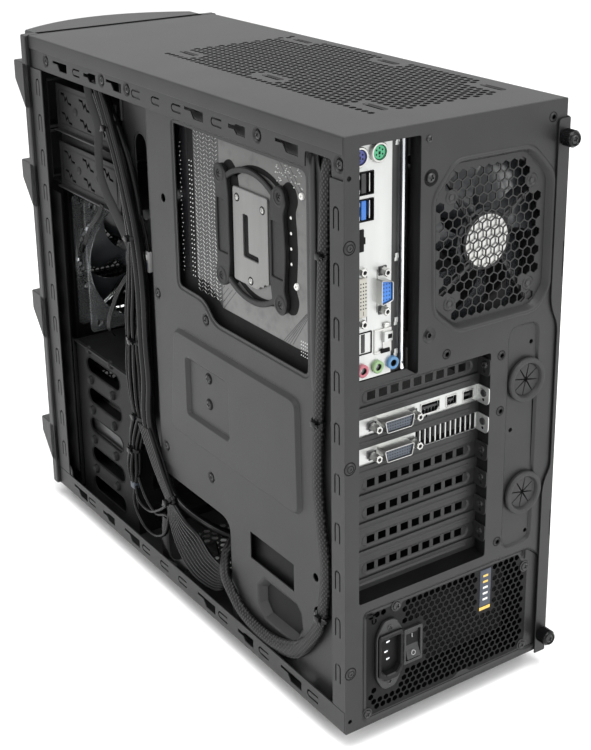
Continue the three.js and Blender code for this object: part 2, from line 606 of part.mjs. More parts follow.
function frontBezel() {
  const { halfWidth, halfCore, sideDepth, wall } = BEZEL;
  const core = plate('XY', bowed(0, halfCore, BEZEL_BACK), [], 0, CHASSIS.height);
  const base = box([-halfWidth, halfWidth], [BEZEL_BACK - 8, BEZEL_BACK], [0, CHASSIS.height]);
  const ribs = BEZEL_RIBS.map(([low, high]) => {
    const outline = [[BEZEL_BACK, low - RIB_SLOPE], [BEZEL_BACK, high], [BEZEL_BACK - sideDepth, high],
      [BEZEL_BACK - sideDepth, low], [BEZEL_BACK - 8, low - RIB_SLOPE]];
    return plate('YZ', outline.reverse(), [], -halfWidth, halfWidth);
  });
  const hollow = plate('XY', bowed(wall, halfCore - wall, BEZEL_BACK + 1), [], wall, CHASSIS.height - wall);
  const bays = box([-73.3, 73.3], [BEZEL_BACK - 60, BEZEL_BACK + 1], [bayZ(0), bayZ(BAYS.count)]);
  const intake = Array.from({ length: 9 }, (_, i) => {
    const z = 24 + i * 27;
    return box([-62, 62], [BEZEL_BACK - 60, BEZEL_BACK - 30], [z, z + 18]);
  });
  const pockets = [POWER, RESET, FRONT_PORTS].map(controlPocket);
  return cut(joined([core, base, ...ribs]), [hollow, bays, ...intake, ...pockets]);
}

function bayCover(index) {
  const z = [bayZ(index) + GAP, bayZ(index + 1) - GAP];
  const halfWidth = 73.3 - GAP;
  const body = plate('XY', bowed(0.5, halfWidth, BEZEL_BACK - 2), [], ...z);
  const hollow = plate('XY', bowed(3, halfWidth - 2.5, BEZEL_BACK + 1), [], z[0] + 2.5, z[1] - 2.5);
  return cut(body, [hollow]);
}

// A push button with a stem behind its cap.
function pushButton({ x, z, width, height }) {
  const face = BEZEL_BACK - BEZEL.depth + (BEZEL.depth - BEZEL.sideDepth) * (x / BEZEL.halfCore) ** 2;
  const cap = box([x - width / 2, x + width / 2], [face - 1.5, face + 9], [z - height / 2, z + height / 2]);
  const stem = box([x - 2, x + 2], [face + 8, face + 20], [z - 2, z + 2]);
  return joined([cap, stem]);
}

function frontPortBlock() {
  const { x, z, width, height } = FRONT_PORTS;
  const face = BEZEL_BACK - BEZEL.depth + 6;
  const body = box([x - width / 2, x + width / 2], [face - 1, face + 18], [z - height / 2, z + height / 2]);
  const sockets = [-8, 8].map((shift) => box([x + shift - 6.5, x + shift + 6.5], [face - 2, face + 10], [z - 2.5, z + 2.5]));
  return cut(body, sockets);
}

// ---- cables held inside ----

const LOOMS = {
  main_cable_loom: { radius: 6, points: [[46, -184, 72], [66, -212, 70], [78.8, -242, 70], [79, -263, 75],
    [79, -271, 90], [79.2, -277, 110], [79.4, -282, 135], [79.4, -283, 165], [79.4, -283, 190], [79.4, -280, 225],
    [79.2, -279, 262], [79, -285, 295], [79, -292, 325], [79, -299, 350], [78.8, -302, 370], [78.5, -309, 386]] },
  drive_cable_loom: { radius: 4.5, points: [[46, -184, 50], [64, -220, 48], [80, -252, 42], [81.5, -280, 36],
    [81.8, -297, 46], [81.8, -300, 66], [81.8, -299, 90], [81.8, -297, 115], [81.5, -296, 160], [81.5, -296, 205],
    [81.5, -293, 250], [81.5, -300, 290], [81.5, -311, 322], [81.5, -320, 350], [80, -329, 372], [78, -338, 384]] },
  processor_power_cable: { radius: 3.5, points: [[60, -176, 58], [76, -168, 50], [84, -156, 42], [85, -147, 34],
    [85, -134, 25], [85, -113, 21.5], [85, -88, 22.5], [85, -63, 31], [85, -45, 47], [84.9, -33, 65], [84.9, -27, 88],
    [84.9, -26, 116], [84.9, -31, 143], [84.9, -34, 171], [84.9, -33.5, 200], [84.9, -32, 229], [84.9, -29.5, 264],
    [84.9, -28, 297], [84.9, -26, 330], [84.9, -23.5, 360], [84.4, -22, 376], [82, -22, 387], [79, -22, 390],
    [76.5, -22, 390]] },
};

// ---- assembly ----

add('rear_panel', steel(), rearPanel());
add('top_panel', steel(), topPanel());
add('bottom_panel', steel(), bottomPanel());
add('front_frame', steel(), frontFrame());
add('motherboard_tray', steel(), motherboardTray());
add('optical_bay_cage', steel(), opticalBayCage());
add('drive_cage', steel(), driveCage());
add('hard_drive', aluminium(), hardDrive());
add('motherboard', circuitBoard(), motherboard());
add('io_shield', plainSteel(), ioShield());
Object.entries(PORTS).forEach(([name, port]) => add(name, darkPlastic(), portBlock(port)));
[0, 1, 2, 3, 6].forEach((index) => add(`slot_cover_${SLOT.count - index}`, steel(), slotCover(index)));
add('graphics_bracket', plainSteel(), graphicsBracket());
add('graphics_board', circuitBoard(), graphicsBoard());
add('graphics_cooler', darkPlastic(), graphicsCooler());
add('cooler_backplate', blackPlastic(), coolerBackplate());
add('socket_backplate', plainSteel(), socketBackplate());
add('cpu_heatsink', aluminium(), cpuHeatsink());
[0, 1].forEach((index) => add(`memory_module_${index + 1}`, circuitBoard(), memoryModule(index)));

addFan('rear_fan', 'rear', [REAR_FAN.x, -SHEET - GAP - REAR_FAN.recess - FAN.depth / 2, REAR_FAN.z],
  { ...FAN, size: REAR_FAN.size, blades: 7 });
addFan('front_fan', 'rear', [FRONT_FAN.x, SHEET + GAP + FAN.depth / 2 - CHASSIS.depth, FRONT_FAN.z],
  { ...FAN, blades: 7 });
addFan('cpu_fan', 'left', [20 - GAP - 12.5, SOCKET.y, SOCKET.z],
  { size: 92, depth: 25, bore: 44, holePitch: 82.5, blades: 7 });
addFan('psu_fan', 'up', [0, -91, PSU.z[0] + SHEET + GAP + FAN.depth / 2], { ...FAN, blades: 9 });
addFan('graphics_fan', 'up', [CARD_FAN.x, CARD_FAN.y, CARD.z - 23], { depth: 16, bore: CARD_FAN.radius, blades: 9 },
  false);

add('psu_case', steel(), psuCase());
add('psu_inlet', blackPlastic(), psuInlet());
add('psu_switch_frame', blackPlastic(), psuSwitchFrame());
add('psu_rocker', darkPlastic(), psuRocker());
GROMMETS.forEach((place, index) => add(`cable_grommet_${index + 1}`, rubber(), grommet(place)));
add('left_side_panel', steel(), leftSidePanel());
Object.entries(THUMBSCREWS).forEach(([name, place]) => add(`thumbscrew_${name}`, darkPlastic(), thumbscrew(place)));

add('front_bezel', blackPlastic(), frontBezel());
Array.from({ length: BAYS.count }, (_, index) => add(`bay_cover_${index + 1}`, blackPlastic(), bayCover(index)));
add('power_button', blackPlastic(), pushButton(POWER));
add('reset_button', blackPlastic(), pushButton(RESET));
add('front_port_block', darkPlastic(), frontPortBlock());

FOOT.y.forEach((y, row) => [-FOOT.x, FOOT.x].forEach((x, column) => {
  const foot = plate('XY', circle(x, y, FOOT.radius, 20), [], -FOOT.height, -GAP);
  add(`foot_${row * 2 + column + 1}`, rubber(), foot);
}));

Object.entries(LOOMS).forEach(([name, { points, radius }]) => add(name, cable(), tube(points, radius)));

// ---- origin on the floor, under the middle of the bounding box ----

const bounds = new THREE.Box3().setFromObject(model);
const centre = bounds.getCenter(new THREE.Vector3());
model.position.set(-centre.x, -centre.y, -bounds.min.z);

export default model;
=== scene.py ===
import math
import random

import bmesh
import bpy
from mathutils import Matrix, Vector
from mathutils.geometry import tessellate_polygon


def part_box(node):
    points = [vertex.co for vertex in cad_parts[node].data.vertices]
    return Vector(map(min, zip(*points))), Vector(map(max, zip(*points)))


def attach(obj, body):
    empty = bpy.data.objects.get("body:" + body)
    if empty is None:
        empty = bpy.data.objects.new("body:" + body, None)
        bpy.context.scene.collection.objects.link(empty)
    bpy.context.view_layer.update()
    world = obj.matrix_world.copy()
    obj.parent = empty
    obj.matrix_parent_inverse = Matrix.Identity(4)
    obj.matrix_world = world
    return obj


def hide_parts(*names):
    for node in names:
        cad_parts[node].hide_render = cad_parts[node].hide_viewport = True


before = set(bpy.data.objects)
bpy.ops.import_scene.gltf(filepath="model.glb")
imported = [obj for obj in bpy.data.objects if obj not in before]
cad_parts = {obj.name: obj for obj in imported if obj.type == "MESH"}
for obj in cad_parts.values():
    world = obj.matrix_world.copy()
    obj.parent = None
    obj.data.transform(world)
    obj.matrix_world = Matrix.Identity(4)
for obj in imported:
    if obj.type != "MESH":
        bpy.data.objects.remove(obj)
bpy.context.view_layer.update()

# Lengths below are millimetres in the chassis frame: X = 0 on the centre plane, Y = 0 on the outside of
# the rear panel and Z = 0 under the bottom panel. PLACE turns them into metres in the row frame.
MM = 0.001
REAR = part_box("rear_panel")
PLACE = Matrix.Translation((0, REAR[1][1], REAR[0][2])) @ Matrix.Scale(MM, 4)
HALF, HEIGHT, DEPTH = 88, 405, 436
AXES = {"XY": ((1, 0, 0), (0, 1, 0), (0, 0, 1)), "XZ": ((1, 0, 0), (0, 0, 1), (0, -1, 0)),
        "YZ": ((0, 1, 0), (0, 0, 1), (1, 0, 0))}
BOARD_BACK = 74.1
PROCESSOR = (-121, 312)
# The moulded front: its back and depth, half its width, and how far its face bows.
FRONT_BACK, FRONT_DEEP, FRONT_HALF, FRONT_BOW = -436.3, 54, 79, 29
CONTROLS_Z = 388.5
BAY_PITCH = 28
# The camera that the photograph was taken with: azimuth, elevation and roll in degrees, and its place.
CAMERA_TURN = (146.073, 18.789, -0.829)
CAMERA_AT = (544.87, 628.23, 596.29)
CAMERA_LENS, CAMERA_SENSOR, CAMERA_SHIFT = 67.42, 36, -0.1535
random.seed(7)


# ---- materials ----

class Material:
    """A material's nodes and links, with short ways to add to them."""

    def __init__(self, name):
        self.mat = bpy.data.materials.new(name)
        self.mat.use_nodes = True
        self.tree = self.mat.node_tree
        self.shader = self.tree.nodes["Principled BSDF"]

    def node(self, kind, **inputs):
        node = self.tree.nodes.new("ShaderNode" + kind)
        for name, value in inputs.items():
            node.inputs[name.replace("_", " ")].default_value = value
        return node

    def join(self, node, output, other, entry):
        self.tree.links.new(node.outputs[output], other.inputs[entry])

    def ramp(self, source, output, dark, light, stops=(0, 1)):
        node = self.node("ValToRGB")
        for element, colour, stop in zip(node.color_ramp.elements, (dark, light), stops):
            element.position, element.color = stop, (*colour, 1)
        self.join(source, output, node, "Fac")
        return node

    def bump(self, source, output, strength, distance):
        relief = self.node("Bump", Strength=strength, Distance=distance)
        self.join(source, output, relief, "Height")
        self.join(relief, "Normal", self.shader, "Normal")

    def set(self, **inputs):
        for name, value in inputs.items():
            self.shader.inputs[name.replace("_", " ")].default_value = value
        return self.mat


def finish(name, dark, light, rough=(0.4, 0.55), metallic=0.0, grain=900, bump=0.08, coat=0.0, patch=30,
           stretch=(1, 1, 1), specular=0.5, transmission=0.0, ior=1.5):
    """Colour drifting between two tones, roughness that varies with it, and a fine surface grain."""
    made = Material(name)
    where, scale = made.node("TexCoord"), made.node("Mapping", Scale=stretch)
    made.join(where, "Object", scale, "Vector")
    drift, fine = made.node("TexNoise", Scale=patch, Detail=4), made.node("TexNoise", Scale=grain, Detail=3)
    for node in (drift, fine):
        made.join(scale, "Vector", node, "Vector")
    made.join(made.ramp(drift, "Fac", dark, light, (0.32, 0.68)), "Color", made.shader, "Base Color")
    spread = made.node("MapRange", To_Min=rough[0], To_Max=rough[1])
    made.join(fine, "Fac", spread, "Value")
    made.join(spread, "Result", made.shader, "Roughness")
    made.bump(fine, "Fac", bump, 0.0004)
    return made.set(Metallic=metallic, Coat_Weight=coat, Specular_IOR_Level=specular, IOR=ior,
                    Transmission_Weight=transmission)


def woven(name, dark, light, pitch):
    """A braided sleeve: two sets of slanted ridges that cross."""
    made = Material(name)
    where, cross = made.node("TexCoord"), made.node("Math")
    cross.operation = "MULTIPLY"
    for slot, turn in enumerate((0.9, -0.9)):
        lay = made.node("Mapping", Rotation=(turn, turn * 0.4, 0))
        wave = made.node("TexWave", Scale=1 / pitch, Distortion=0.4)
        wave.bands_direction = "Z"
        made.join(where, "Object", lay, "Vector")
        made.join(lay, "Vector", wave, "Vector")
        made.join(wave, "Fac", cross, slot)
    made.join(made.ramp(cross, "Value", dark, light), "Color", made.shader, "Base Color")
    made.bump(cross, "Value", 0.6, 0.0005)
    return made.set(Roughness=0.45, IOR=1.3)


def board_finish(name):
    """The back of a circuit board: dark solder mask with fine traces and scattered tinned joints."""
    made = Material(name)
    where = made.node("TexCoord")
    cells, traces = made.node("TexVoronoi", Scale=260), made.node("TexVoronoi", Scale=120)
    traces.distance, traces.feature = "MANHATTAN", "F2"
    for node in (cells, traces):
        made.join(where, "Object", node, "Vector")
    joints = made.ramp(cells, "Distance", (1, 1, 1), (0, 0, 0), (0.02, 0.05))
    lines = made.ramp(traces, "Distance", (0.052, 0.052, 0.051), (0.105, 0.105, 0.103))
    mix = made.node("Mix")
    mix.data_type = "RGBA"
    mix.inputs["B"].default_value = (0.45, 0.45, 0.44, 1)
    made.join(joints, "Color", mix, "Factor")
    made.join(lines, "Color", mix, "A")
    made.join(mix, "Result", made.shader, "Base Color")
    made.bump(joints, "Color", 0.3, 0.0006)
    return made.set(Roughness=0.32)


M = {
    "paint": finish("satin_black_paint", (0.0095, 0.0095, 0.0098), (0.014, 0.014, 0.0144), (0.36, 0.5),
                    grain=1500, bump=0.12,
                    specular=0.38),
    "inner": finish("inner_black_paint", (0.005, 0.005, 0.0053), (0.008, 0.008, 0.0084), (0.42, 0.6),
                    grain=1500, bump=0.1, specular=0.5, ior=1.22),
    "plastic": finish("black_moulding", (0.008, 0.008, 0.0085), (0.012, 0.012, 0.013), (0.35, 0.5), grain=700,
                      bump=0.1),
    "gloss": finish("gloss_black", (0.003, 0.003, 0.0035), (0.006, 0.006, 0.0065), (0.14, 0.22), grain=200,
                    bump=0.02, specular=0.5, ior=1.28),
    "bezel": finish("front_moulding", (0.01, 0.01, 0.0105), (0.015, 0.015, 0.016), (0.4, 0.55), grain=500,
                    bump=0.2),
    "rubber": finish("rubber", (0.018, 0.018, 0.0185), (0.025, 0.025, 0.026), (0.5, 0.65), grain=900,
                     bump=0.15, specular=0.35),
    "plated": finish("plated_sheet", (0.4, 0.41, 0.4), (0.5, 0.51, 0.5), (0.26, 0.42), 0.75, grain=700,
                     bump=0.03, stretch=(1, 1, 0.1)),
    "chrome": finish("bright_edge", (0.75, 0.77, 0.8), (0.85, 0.87, 0.9), (0.08, 0.16), 1.0, grain=300,
                     bump=0.02),
    "steel": finish("bare_steel", (0.42, 0.42, 0.41), (0.52, 0.52, 0.5), (0.25, 0.4), 1.0, grain=900,
                    bump=0.05),
    "dull": finish("dark_plating", (0.028, 0.028, 0.029), (0.05, 0.05, 0.051), (0.26, 0.4), 0.7, grain=900,
                   bump=0.05),
    "brass": finish("gilt_contact", (0.55, 0.4, 0.2), (0.65, 0.5, 0.28), (0.25, 0.4), 1.0, grain=900,
                    bump=0.03),
    "aluminium": finish("aluminium", (0.5, 0.51, 0.52), (0.58, 0.59, 0.6), (0.28, 0.42), 0.9, grain=800,
                        bump=0.05),
    "bone": finish("bone_insert", (0.34, 0.33, 0.29), (0.42, 0.41, 0.36), (0.4, 0.5), grain=500, bump=0.04),
    "print": finish("grey_print", (0.24, 0.24, 0.24), (0.3, 0.3, 0.3), (0.5, 0.6), grain=500, bump=0.03),
    "white": finish("white_insert", (0.6, 0.6, 0.58), (0.7, 0.7, 0.68), (0.35, 0.5), grain=500, bump=0.04),
    "slate": finish("slate_insert", (0.035, 0.045, 0.06), (0.055, 0.068, 0.09), (0.35, 0.5), grain=500,
                    bump=0.04),
    # Near-black for holes and throats, and also for painted shade: dark rings under screw heads and round
    # pressed seats, the bracket's painted shadow and the dark band under the tray window.
    "void": finish("deep_black", (0.002, 0.002, 0.002), (0.004, 0.004, 0.004), (0.7, 0.9), grain=300,
                   bump=0.02, specular=0.2),
    "label": finish("printed_label", (0.022, 0.03, 0.045), (0.028, 0.037, 0.055), (0.4, 0.5), grain=300,
                    bump=0.02),
    "amber": finish("amber_print", (0.62, 0.4, 0.08), (0.7, 0.46, 0.1), (0.45, 0.55), grain=300, bump=0.02),
    "clear": finish("clear_moulding", (0.6, 0.62, 0.63), (0.7, 0.72, 0.73), (0.03, 0.06), grain=150,
                    bump=0.02, transmission=0.92),
    "blade": finish("smoked_blade", (0.02, 0.022, 0.024), (0.035, 0.037, 0.04), (0.2, 0.3), grain=300,
                    bump=0.03),
    "wire": finish("wire_insulation", (0.003, 0.003, 0.003), (0.006, 0.006, 0.006), (0.2, 0.3), grain=400,
                   bump=0.04, ior=1.24),
    "braid": woven("braided_sleeve", (0.003, 0.003, 0.003), (0.042, 0.042, 0.042), 0.0068),
    "board": board_finish("circuit_board"),
    "mask": finish("dark_solder_mask", (0.004, 0.004, 0.005), (0.008, 0.008, 0.009), (0.25, 0.4), grain=500,
                   bump=0.05),
    "plate": finish("bracket_moulding", (0.009, 0.009, 0.0095), (0.013, 0.013, 0.0135), (0.4, 0.55),
                    grain=600, bump=0.12, ior=1.32),
    "plate_steel": finish("brushed_plate", (0.17, 0.17, 0.168), (0.23, 0.23, 0.225), (0.34, 0.48), 0.75,
                          grain=700, bump=0.05,
                          stretch=(1, 1, 0.15)),
    "cage": finish("cage_paint", (0.009, 0.009, 0.0095), (0.014, 0.014, 0.0145), (0.38, 0.52), grain=1300,
                   bump=0.08, ior=1.3),
}

SOCKET_COLOURS = {
    "blue": ("blue_socket", (0.02, 0.12, 0.42), (0.03, 0.16, 0.5)),
    "green": ("green_socket", (0.04, 0.3, 0.14), (0.06, 0.36, 0.18)),
    "navy": ("navy_socket", (0.03, 0.035, 0.16), (0.04, 0.05, 0.22)),
    "pink": ("pink_socket", (0.36, 0.1, 0.13), (0.42, 0.13, 0.16)),
    "sky": ("light_blue_socket", (0.06, 0.17, 0.32), (0.09, 0.21, 0.38)),
    "lime": ("pale_green_socket", (0.17, 0.28, 0.13), (0.22, 0.34, 0.17)),
}
M.update({key: finish(*tones, (0.35, 0.45), grain=500, bump=0.04) for key, tones in SOCKET_COLOURS.items()})


# ---- outlines, as lists of (u, v) ----

def rect(u0, u1, v0, v1):
    return [(u0, v0), (u1, v0), (u1, v1), (u0, v1)]


def arc(u, v, radius, start, end, steps):
    angles = [math.radians(start + (end - start) * i / steps) for i in range(steps + 1)]
    return [(u + radius * math.cos(a), v + radius * math.sin(a)) for a in angles]


def ring(u, v, radius, sides=24, phase=0.0):
    return arc(u, v, radius, phase, phase + 360, sides)[:-1]


def area(outline):
    return sum(a[0] * b[1] - b[0] * a[1] for a, b in zip(outline, outline[1:] + outline[:1])) / 2


def ccw(outline):
    return outline if area(outline) > 0 else outline[::-1]


def rounded(outline, radius, steps=4):
    """Fillets the corners; radius is one number or one for each corner."""
    outline = ccw(outline) if not isinstance(radius, (list, tuple)) else outline
    radii = radius if isinstance(radius, (list, tuple)) else [radius] * len(outline)
    result = []
    for i, corner in enumerate(outline):
        here, before, after = Vector(corner), Vector(outline[i - 1]), Vector(outline[(i + 1) % len(outline)])
        to_before, to_after = (before - here), (after - here)
        reach = min(radii[i], to_before.length * 0.48, to_after.length * 0.48)
        if reach < 0.05:
            result.append(tuple(here))
            continue
        start, end = here + to_before.normalized() * reach, here + to_after.normalized() * reach
        for k in range(steps + 1):
            t = k / steps
            result.append(tuple(start * (1 - t) ** 2 + here * 2 * t * (1 - t) + end * t * t))
    return result


def pill(u0, u1, v0, v1, steps=5):
    radius = min(abs(u1 - u0), abs(v1 - v0)) / 2 - 0.01
    corners = [(u1 - radius, v0 + radius, -90), (u1 - radius, v1 - radius, 0),
               (u0 + radius, v1 - radius, 90), (u0 + radius, v0 + radius, 180)]
    return [p for u, v, a in corners for p in arc(u, v, radius, a, a + 90, steps)]


def inset(outline, amount):
    """Moves every edge inwards by amount."""
    outline = ccw(outline)
    result = []
    for i, corner in enumerate(outline):
        here = Vector(corner)
        one = (here - Vector(outline[i - 1])).normalized()
        two = (Vector(outline[(i + 1) % len(outline)]) - here).normalized()
        left = Vector((-one.y - two.y, one.x + two.x))
        if left.length < 1e-6:
            left = Vector((-one.y, one.x))
        left.normalize()
        cosine = max(0.35, left.dot(Vector((-one.y, one.x))))
        result.append(tuple(here + left * amount / cosine))
    return result


def inside(outline, point):
    u, v = point
    hit = False
    for (u0, v0), (u1, v1) in zip(outline, outline[1:] + outline[:1]):
        if (v0 > v) != (v1 > v) and u < (u1 - u0) * (v - v0) / (v1 - v0) + u0:
            hit = not hit
    return hit


def hexagons(region, pitch, radius, avoid=(), sides=6, phase=30.0, turned=False, margin=0.95):
    """Staggered holes that stay inside a region and clear of round or rectangular keep-outs."""
    us, vs = [p[0] for p in region], [p[1] for p in region]
    safe = inset(region, radius * margin)
    holes = []
    step_u, step_v = (pitch * 0.866, pitch) if turned else (pitch, pitch * 0.866)
    wide, tall = max(us) - min(us), max(vs) - min(vs)
    for row in range(int(wide / step_u if turned else tall / step_v) + 2):
        for col in range(int(max(wide, tall) / pitch) + 2):
            if turned:
                point = (min(us) + row * step_u, min(vs) + (col + 0.5 * (row % 2)) * pitch)
            else:
                point = (min(us) + (col + 0.5 * (row % 2)) * pitch, min(vs) + row * step_v)
            if inside(safe, point) and not any(blocked(point, keep, radius) for keep in avoid):
                holes.append(ring(*point, radius, sides, phase))
    return holes


def blocked(point, keep, radius):
    if len(keep) == 3:
        return math.dist(point, keep[:2]) < keep[2] + radius
    u0, u1, v0, v1 = keep
    return u0 - radius < point[0] < u1 + radius and v0 - radius < point[1] < v1 + radius


# ---- solids ----

def link(name, mesh, mat, angle=32):
    mesh.shade_smooth()
    mesh.set_sharp_from_angle(angle=math.radians(angle))
    mesh.materials.clear()
    mesh.materials.append(M[mat])
    obj = bpy.data.objects.new(name, mesh)
    bpy.context.scene.collection.objects.link(obj)
    return obj


def middle_of(low, high):
    """The middle of a row frame box, in the chassis frame; low and high in millimetres."""
    return [(a + b) / 2 - o for a, b, o in zip(low, high, PLACE.translation / MM)]


def at(plane, u, v, level):
    return {"XY": (u, v, level), "XZ": (u, level, v), "YZ": (level, u, v)}[plane]


def from_faces(name, points, faces, mat, angle=32):
    mesh = bpy.data.meshes.new(name)
    mesh.from_pydata([tuple(PLACE @ Vector(p)) for p in points], [], faces)
    bm = bmesh.new()
    bm.from_mesh(mesh)
    bmesh.ops.remove_doubles(bm, verts=bm.verts, dist=1e-6)
    bmesh.ops.recalc_face_normals(bm, faces=bm.faces)
    bm.to_mesh(mesh)
    bm.free()
    return link(name, mesh, mat, angle)


def sheet(plane, outline, holes, low, high, mat="paint", edge=0.15):
    """A flat sheet with holes and softened edges, between two levels across its plane."""
    curve = bpy.data.curves.new("sheet", "CURVE")
    curve.dimensions, curve.fill_mode = "2D", "BOTH"
    edge = min(edge, (high - low) * 0.45)
    curve.extrude = ((high - low) / 2 - edge) * MM
    curve.bevel_depth, curve.offset, curve.bevel_resolution = edge * MM, -edge * MM, 0
    for line in [outline, *holes]:
        spline = curve.splines.new("POLY")
        spline.points.add(len(line) - 1)
        for point, (u, v) in zip(spline.points, line):
            point.co = (u * MM, v * MM, 0, 1)
        spline.use_cyclic_u = True
    holder = bpy.data.objects.new("sheet", curve)
    bpy.context.scene.collection.objects.link(holder)
    bpy.context.view_layer.update()
    mesh = bpy.data.meshes.new_from_object(holder.evaluated_get(bpy.context.evaluated_depsgraph_get()))
    bpy.data.objects.remove(holder)
    u, v, n = AXES[plane]
    turn = Matrix((u, v, n)).transposed().to_4x4()
    middle = (low + high) / 2 * MM
    shift = Matrix.Translation(Vector(n) * (-middle if plane == "XZ" else middle))
    mesh.transform(Matrix.Translation(PLACE.translation) @ shift @ turn)
    return link("sheet", mesh, mat)


def band(plane, loops, mat="paint", cap=False, angle=60):
    """A strip of faces through a list of (outline, level) with equal point counts."""
    count = len(loops[0][0])
    points = [at(plane, u, v, level) for outline, level in loops for u, v in outline]
    faces = [(k * count + i, k * count + (i + 1) % count, (k + 1) * count + (i + 1) % count,
              (k + 1) * count + i) for k in range(len(loops) - 1) for i in range(count)]
    if cap:
        top = [Vector((u, v, 0)) for u, v in loops[-1][0]]
        base = (len(loops) - 1) * count
        faces += [tuple(base + i for i in tri) for tri in tessellate_polygon([top])]
    return from_faces("band", points, faces, mat, angle)


def pressed(plane, outline, level, depth, run, mat="paint", cap=False):
    """A drafted step in sheet metal: rounded at both ends, from level to level + depth over run."""
    stages = [(0, 0), (0.12, 0.02), (0.3, 0.15), (0.7, 0.85), (0.88, 0.98), (1, 1)]
    return band(plane, [(inset(outline, run * a), level + depth * b) for a, b in stages], mat, cap)


def block(x, y, z, mat, soft=0.4, segments=2):
    """A box with rounded edges."""
    bm = bmesh.new()
    bmesh.ops.create_cube(bm, size=1)
    size = Vector((x[1] - x[0], y[1] - y[0], z[1] - z[0]))
    centre = Vector((x[1] + x[0], y[1] + y[0], z[1] + z[0])) / 2
    bmesh.ops.transform(bm, matrix=Matrix.Translation(centre) @ Matrix.Diagonal((*size, 1)), verts=bm.verts)
    soft = min(soft, min(size) * 0.45)
    bmesh.ops.bevel(bm, geom=bm.edges, offset=soft, segments=segments, affect="EDGES", profile=0.5)
    bmesh.ops.transform(bm, matrix=PLACE, verts=bm.verts)
    mesh = bpy.data.meshes.new("block")
    bm.to_mesh(mesh)
    bm.free()
    return link("block", mesh, mat)


def turned(centre, axis, profile, mat, sides=32, angle=32):
    """A turned piece: profile is (radius, distance along axis) from its centre."""
    way = Vector(axis).normalized()
    side = way.orthogonal().normalized()
    other = way.cross(side)
    base = Vector(centre)
    points, faces = [], []
    for radius, along in profile:
        for i in range(sides):
            a = 2 * math.pi * i / sides
            points.append(base + way * along + (side * math.cos(a) + other * math.sin(a)) * max(radius, 1e-4))
    for k in range(len(profile) - 1):
        for i in range(sides):
            j = (i + 1) % sides
            faces.append((k * sides + i, k * sides + j, (k + 1) * sides + j, (k + 1) * sides + i))
    return from_faces("turned", points, faces, mat, angle)


def smooth_path(points, per=5):
    """A centripetal curve through the points."""
    path = [Vector(p) for p in points]
    path = [path[0] * 2 - path[1], *path, path[-1] * 2 - path[-2]]
    result = []
    for a, b, c, d in zip(path, path[1:], path[2:], path[3:]):
        t1 = math.sqrt((b - a).length) or 1e-3
        t2 = t1 + (math.sqrt((c - b).length) or 1e-3)
        t3 = t2 + (math.sqrt((d - c).length) or 1e-3)
        for k in range(per):
            t = t1 + (t2 - t1) * k / per
            ab, bc, cd = a.lerp(b, t / t1), b.lerp(c, (t - t1) / (t2 - t1)), c.lerp(d, (t - t2) / (t3 - t2))
            left, right = ab.lerp(bc, t / t2), bc.lerp(cd, (t - t1) / (t3 - t1))
            result.append(left.lerp(right, (t - t1) / (t2 - t1)))
    return result + [path[-2]]


def tube(points, radius, mat, sides=10, per=5, flat=1.0, smooth=True):
    """A cable through the points. flat below 1 makes a ribbon that is thin along X."""
    path = smooth_path(points, per) if smooth else [Vector(p) for p in points]
    verts, faces = [], []
    side = None
    for i, here in enumerate(path):
        way = (path[min(i + 1, len(path) - 1)] - path[max(i - 1, 0)]).normalized()
        if side is None:
            side = way.cross(Vector((1, 0, 0)) if abs(way.x) < 0.9 else Vector((0, 1, 0))).normalized()
        side = (side - way * side.dot(way)).normalized()
        other = way.cross(side)
        for k in range(sides):
            a = 2 * math.pi * k / sides
            verts.append(here + (side * math.cos(a) + other * math.sin(a) * flat) * radius)
    for i in range(len(path) - 1):
        for k in range(sides):
            j = (k + 1) % sides
            faces.append((i * sides + k, i * sides + j, (i + 1) * sides + j, (i + 1) * sides + k))
    faces += [tuple(range(sides)), tuple(range((len(path) - 1) * sides, len(path) * sides))]
    return from_faces("tube", verts, faces, mat, 50)


def screw_mesh():
    """A domed cross-recess screw head of unit radius, facing +Z."""
    steps = 20
    points, faces = [], []
    for row in range(steps + 1):
        for col in range(steps + 1):
            a, b = 2 * row / steps - 1, 2 * col / steps - 1
            u = a * math.sqrt(1 - b * b / 2)
            v = b * math.sqrt(1 - a * a / 2)
            dome = 0.62 * math.sqrt(max(0, 1 - 0.75 * (u * u + v * v)))
            cross = (abs(u) < 0.11 and abs(v) < 0.55) or (abs(v) < 0.11 and abs(u) < 0.55)
            rim = max(abs(a), abs(b)) > 0.98
            points.append((u, v, 0 if rim else dome - (0.34 if cross else 0)))
    for row in range(steps):
        for col in range(steps):
            i = row * (steps + 1) + col
            faces.append((i, i + steps + 1, i + steps + 2, i + 1))
    return points, faces


HEAD = screw_mesh()


def screw(plane, u, v, level, radius=3.0, out=1, mat="dull", spin=0.5):
    """A screw head on a face of the plane, pointing along +axis or -axis."""
    points, faces = HEAD
    c, s = math.cos(spin + u), math.sin(spin + u)
    placed = [at(plane, u + (a * c - b * s) * radius, v + (a * s + b * c) * radius,
                 level + out * h * radius * 0.8) for a, b, h in points]
    return from_faces("screw", placed, faces, mat, 40)


def dimple(plane, u, v, level, radius, depth, mat="paint", screwed=None):
    """A round drafted seat in sheet metal, with a screw or a hole at its bottom."""
    out = -1 if depth < 0 else 1
    parts = [pressed(plane, ring(u, v, radius), level + 0.02 * out, depth, radius * 0.42, mat, True)]
    if screwed:
        parts.append(screw(plane, u, v, level + depth, radius * 0.5, 1, screwed))
    else:
        parts.append(band(plane, [(ring(u, v, radius * 0.27, 16), level + depth + 0.05),
                                  (ring(u, v, 0.01, 16), level + depth + 0.05)], "void"))
    return parts


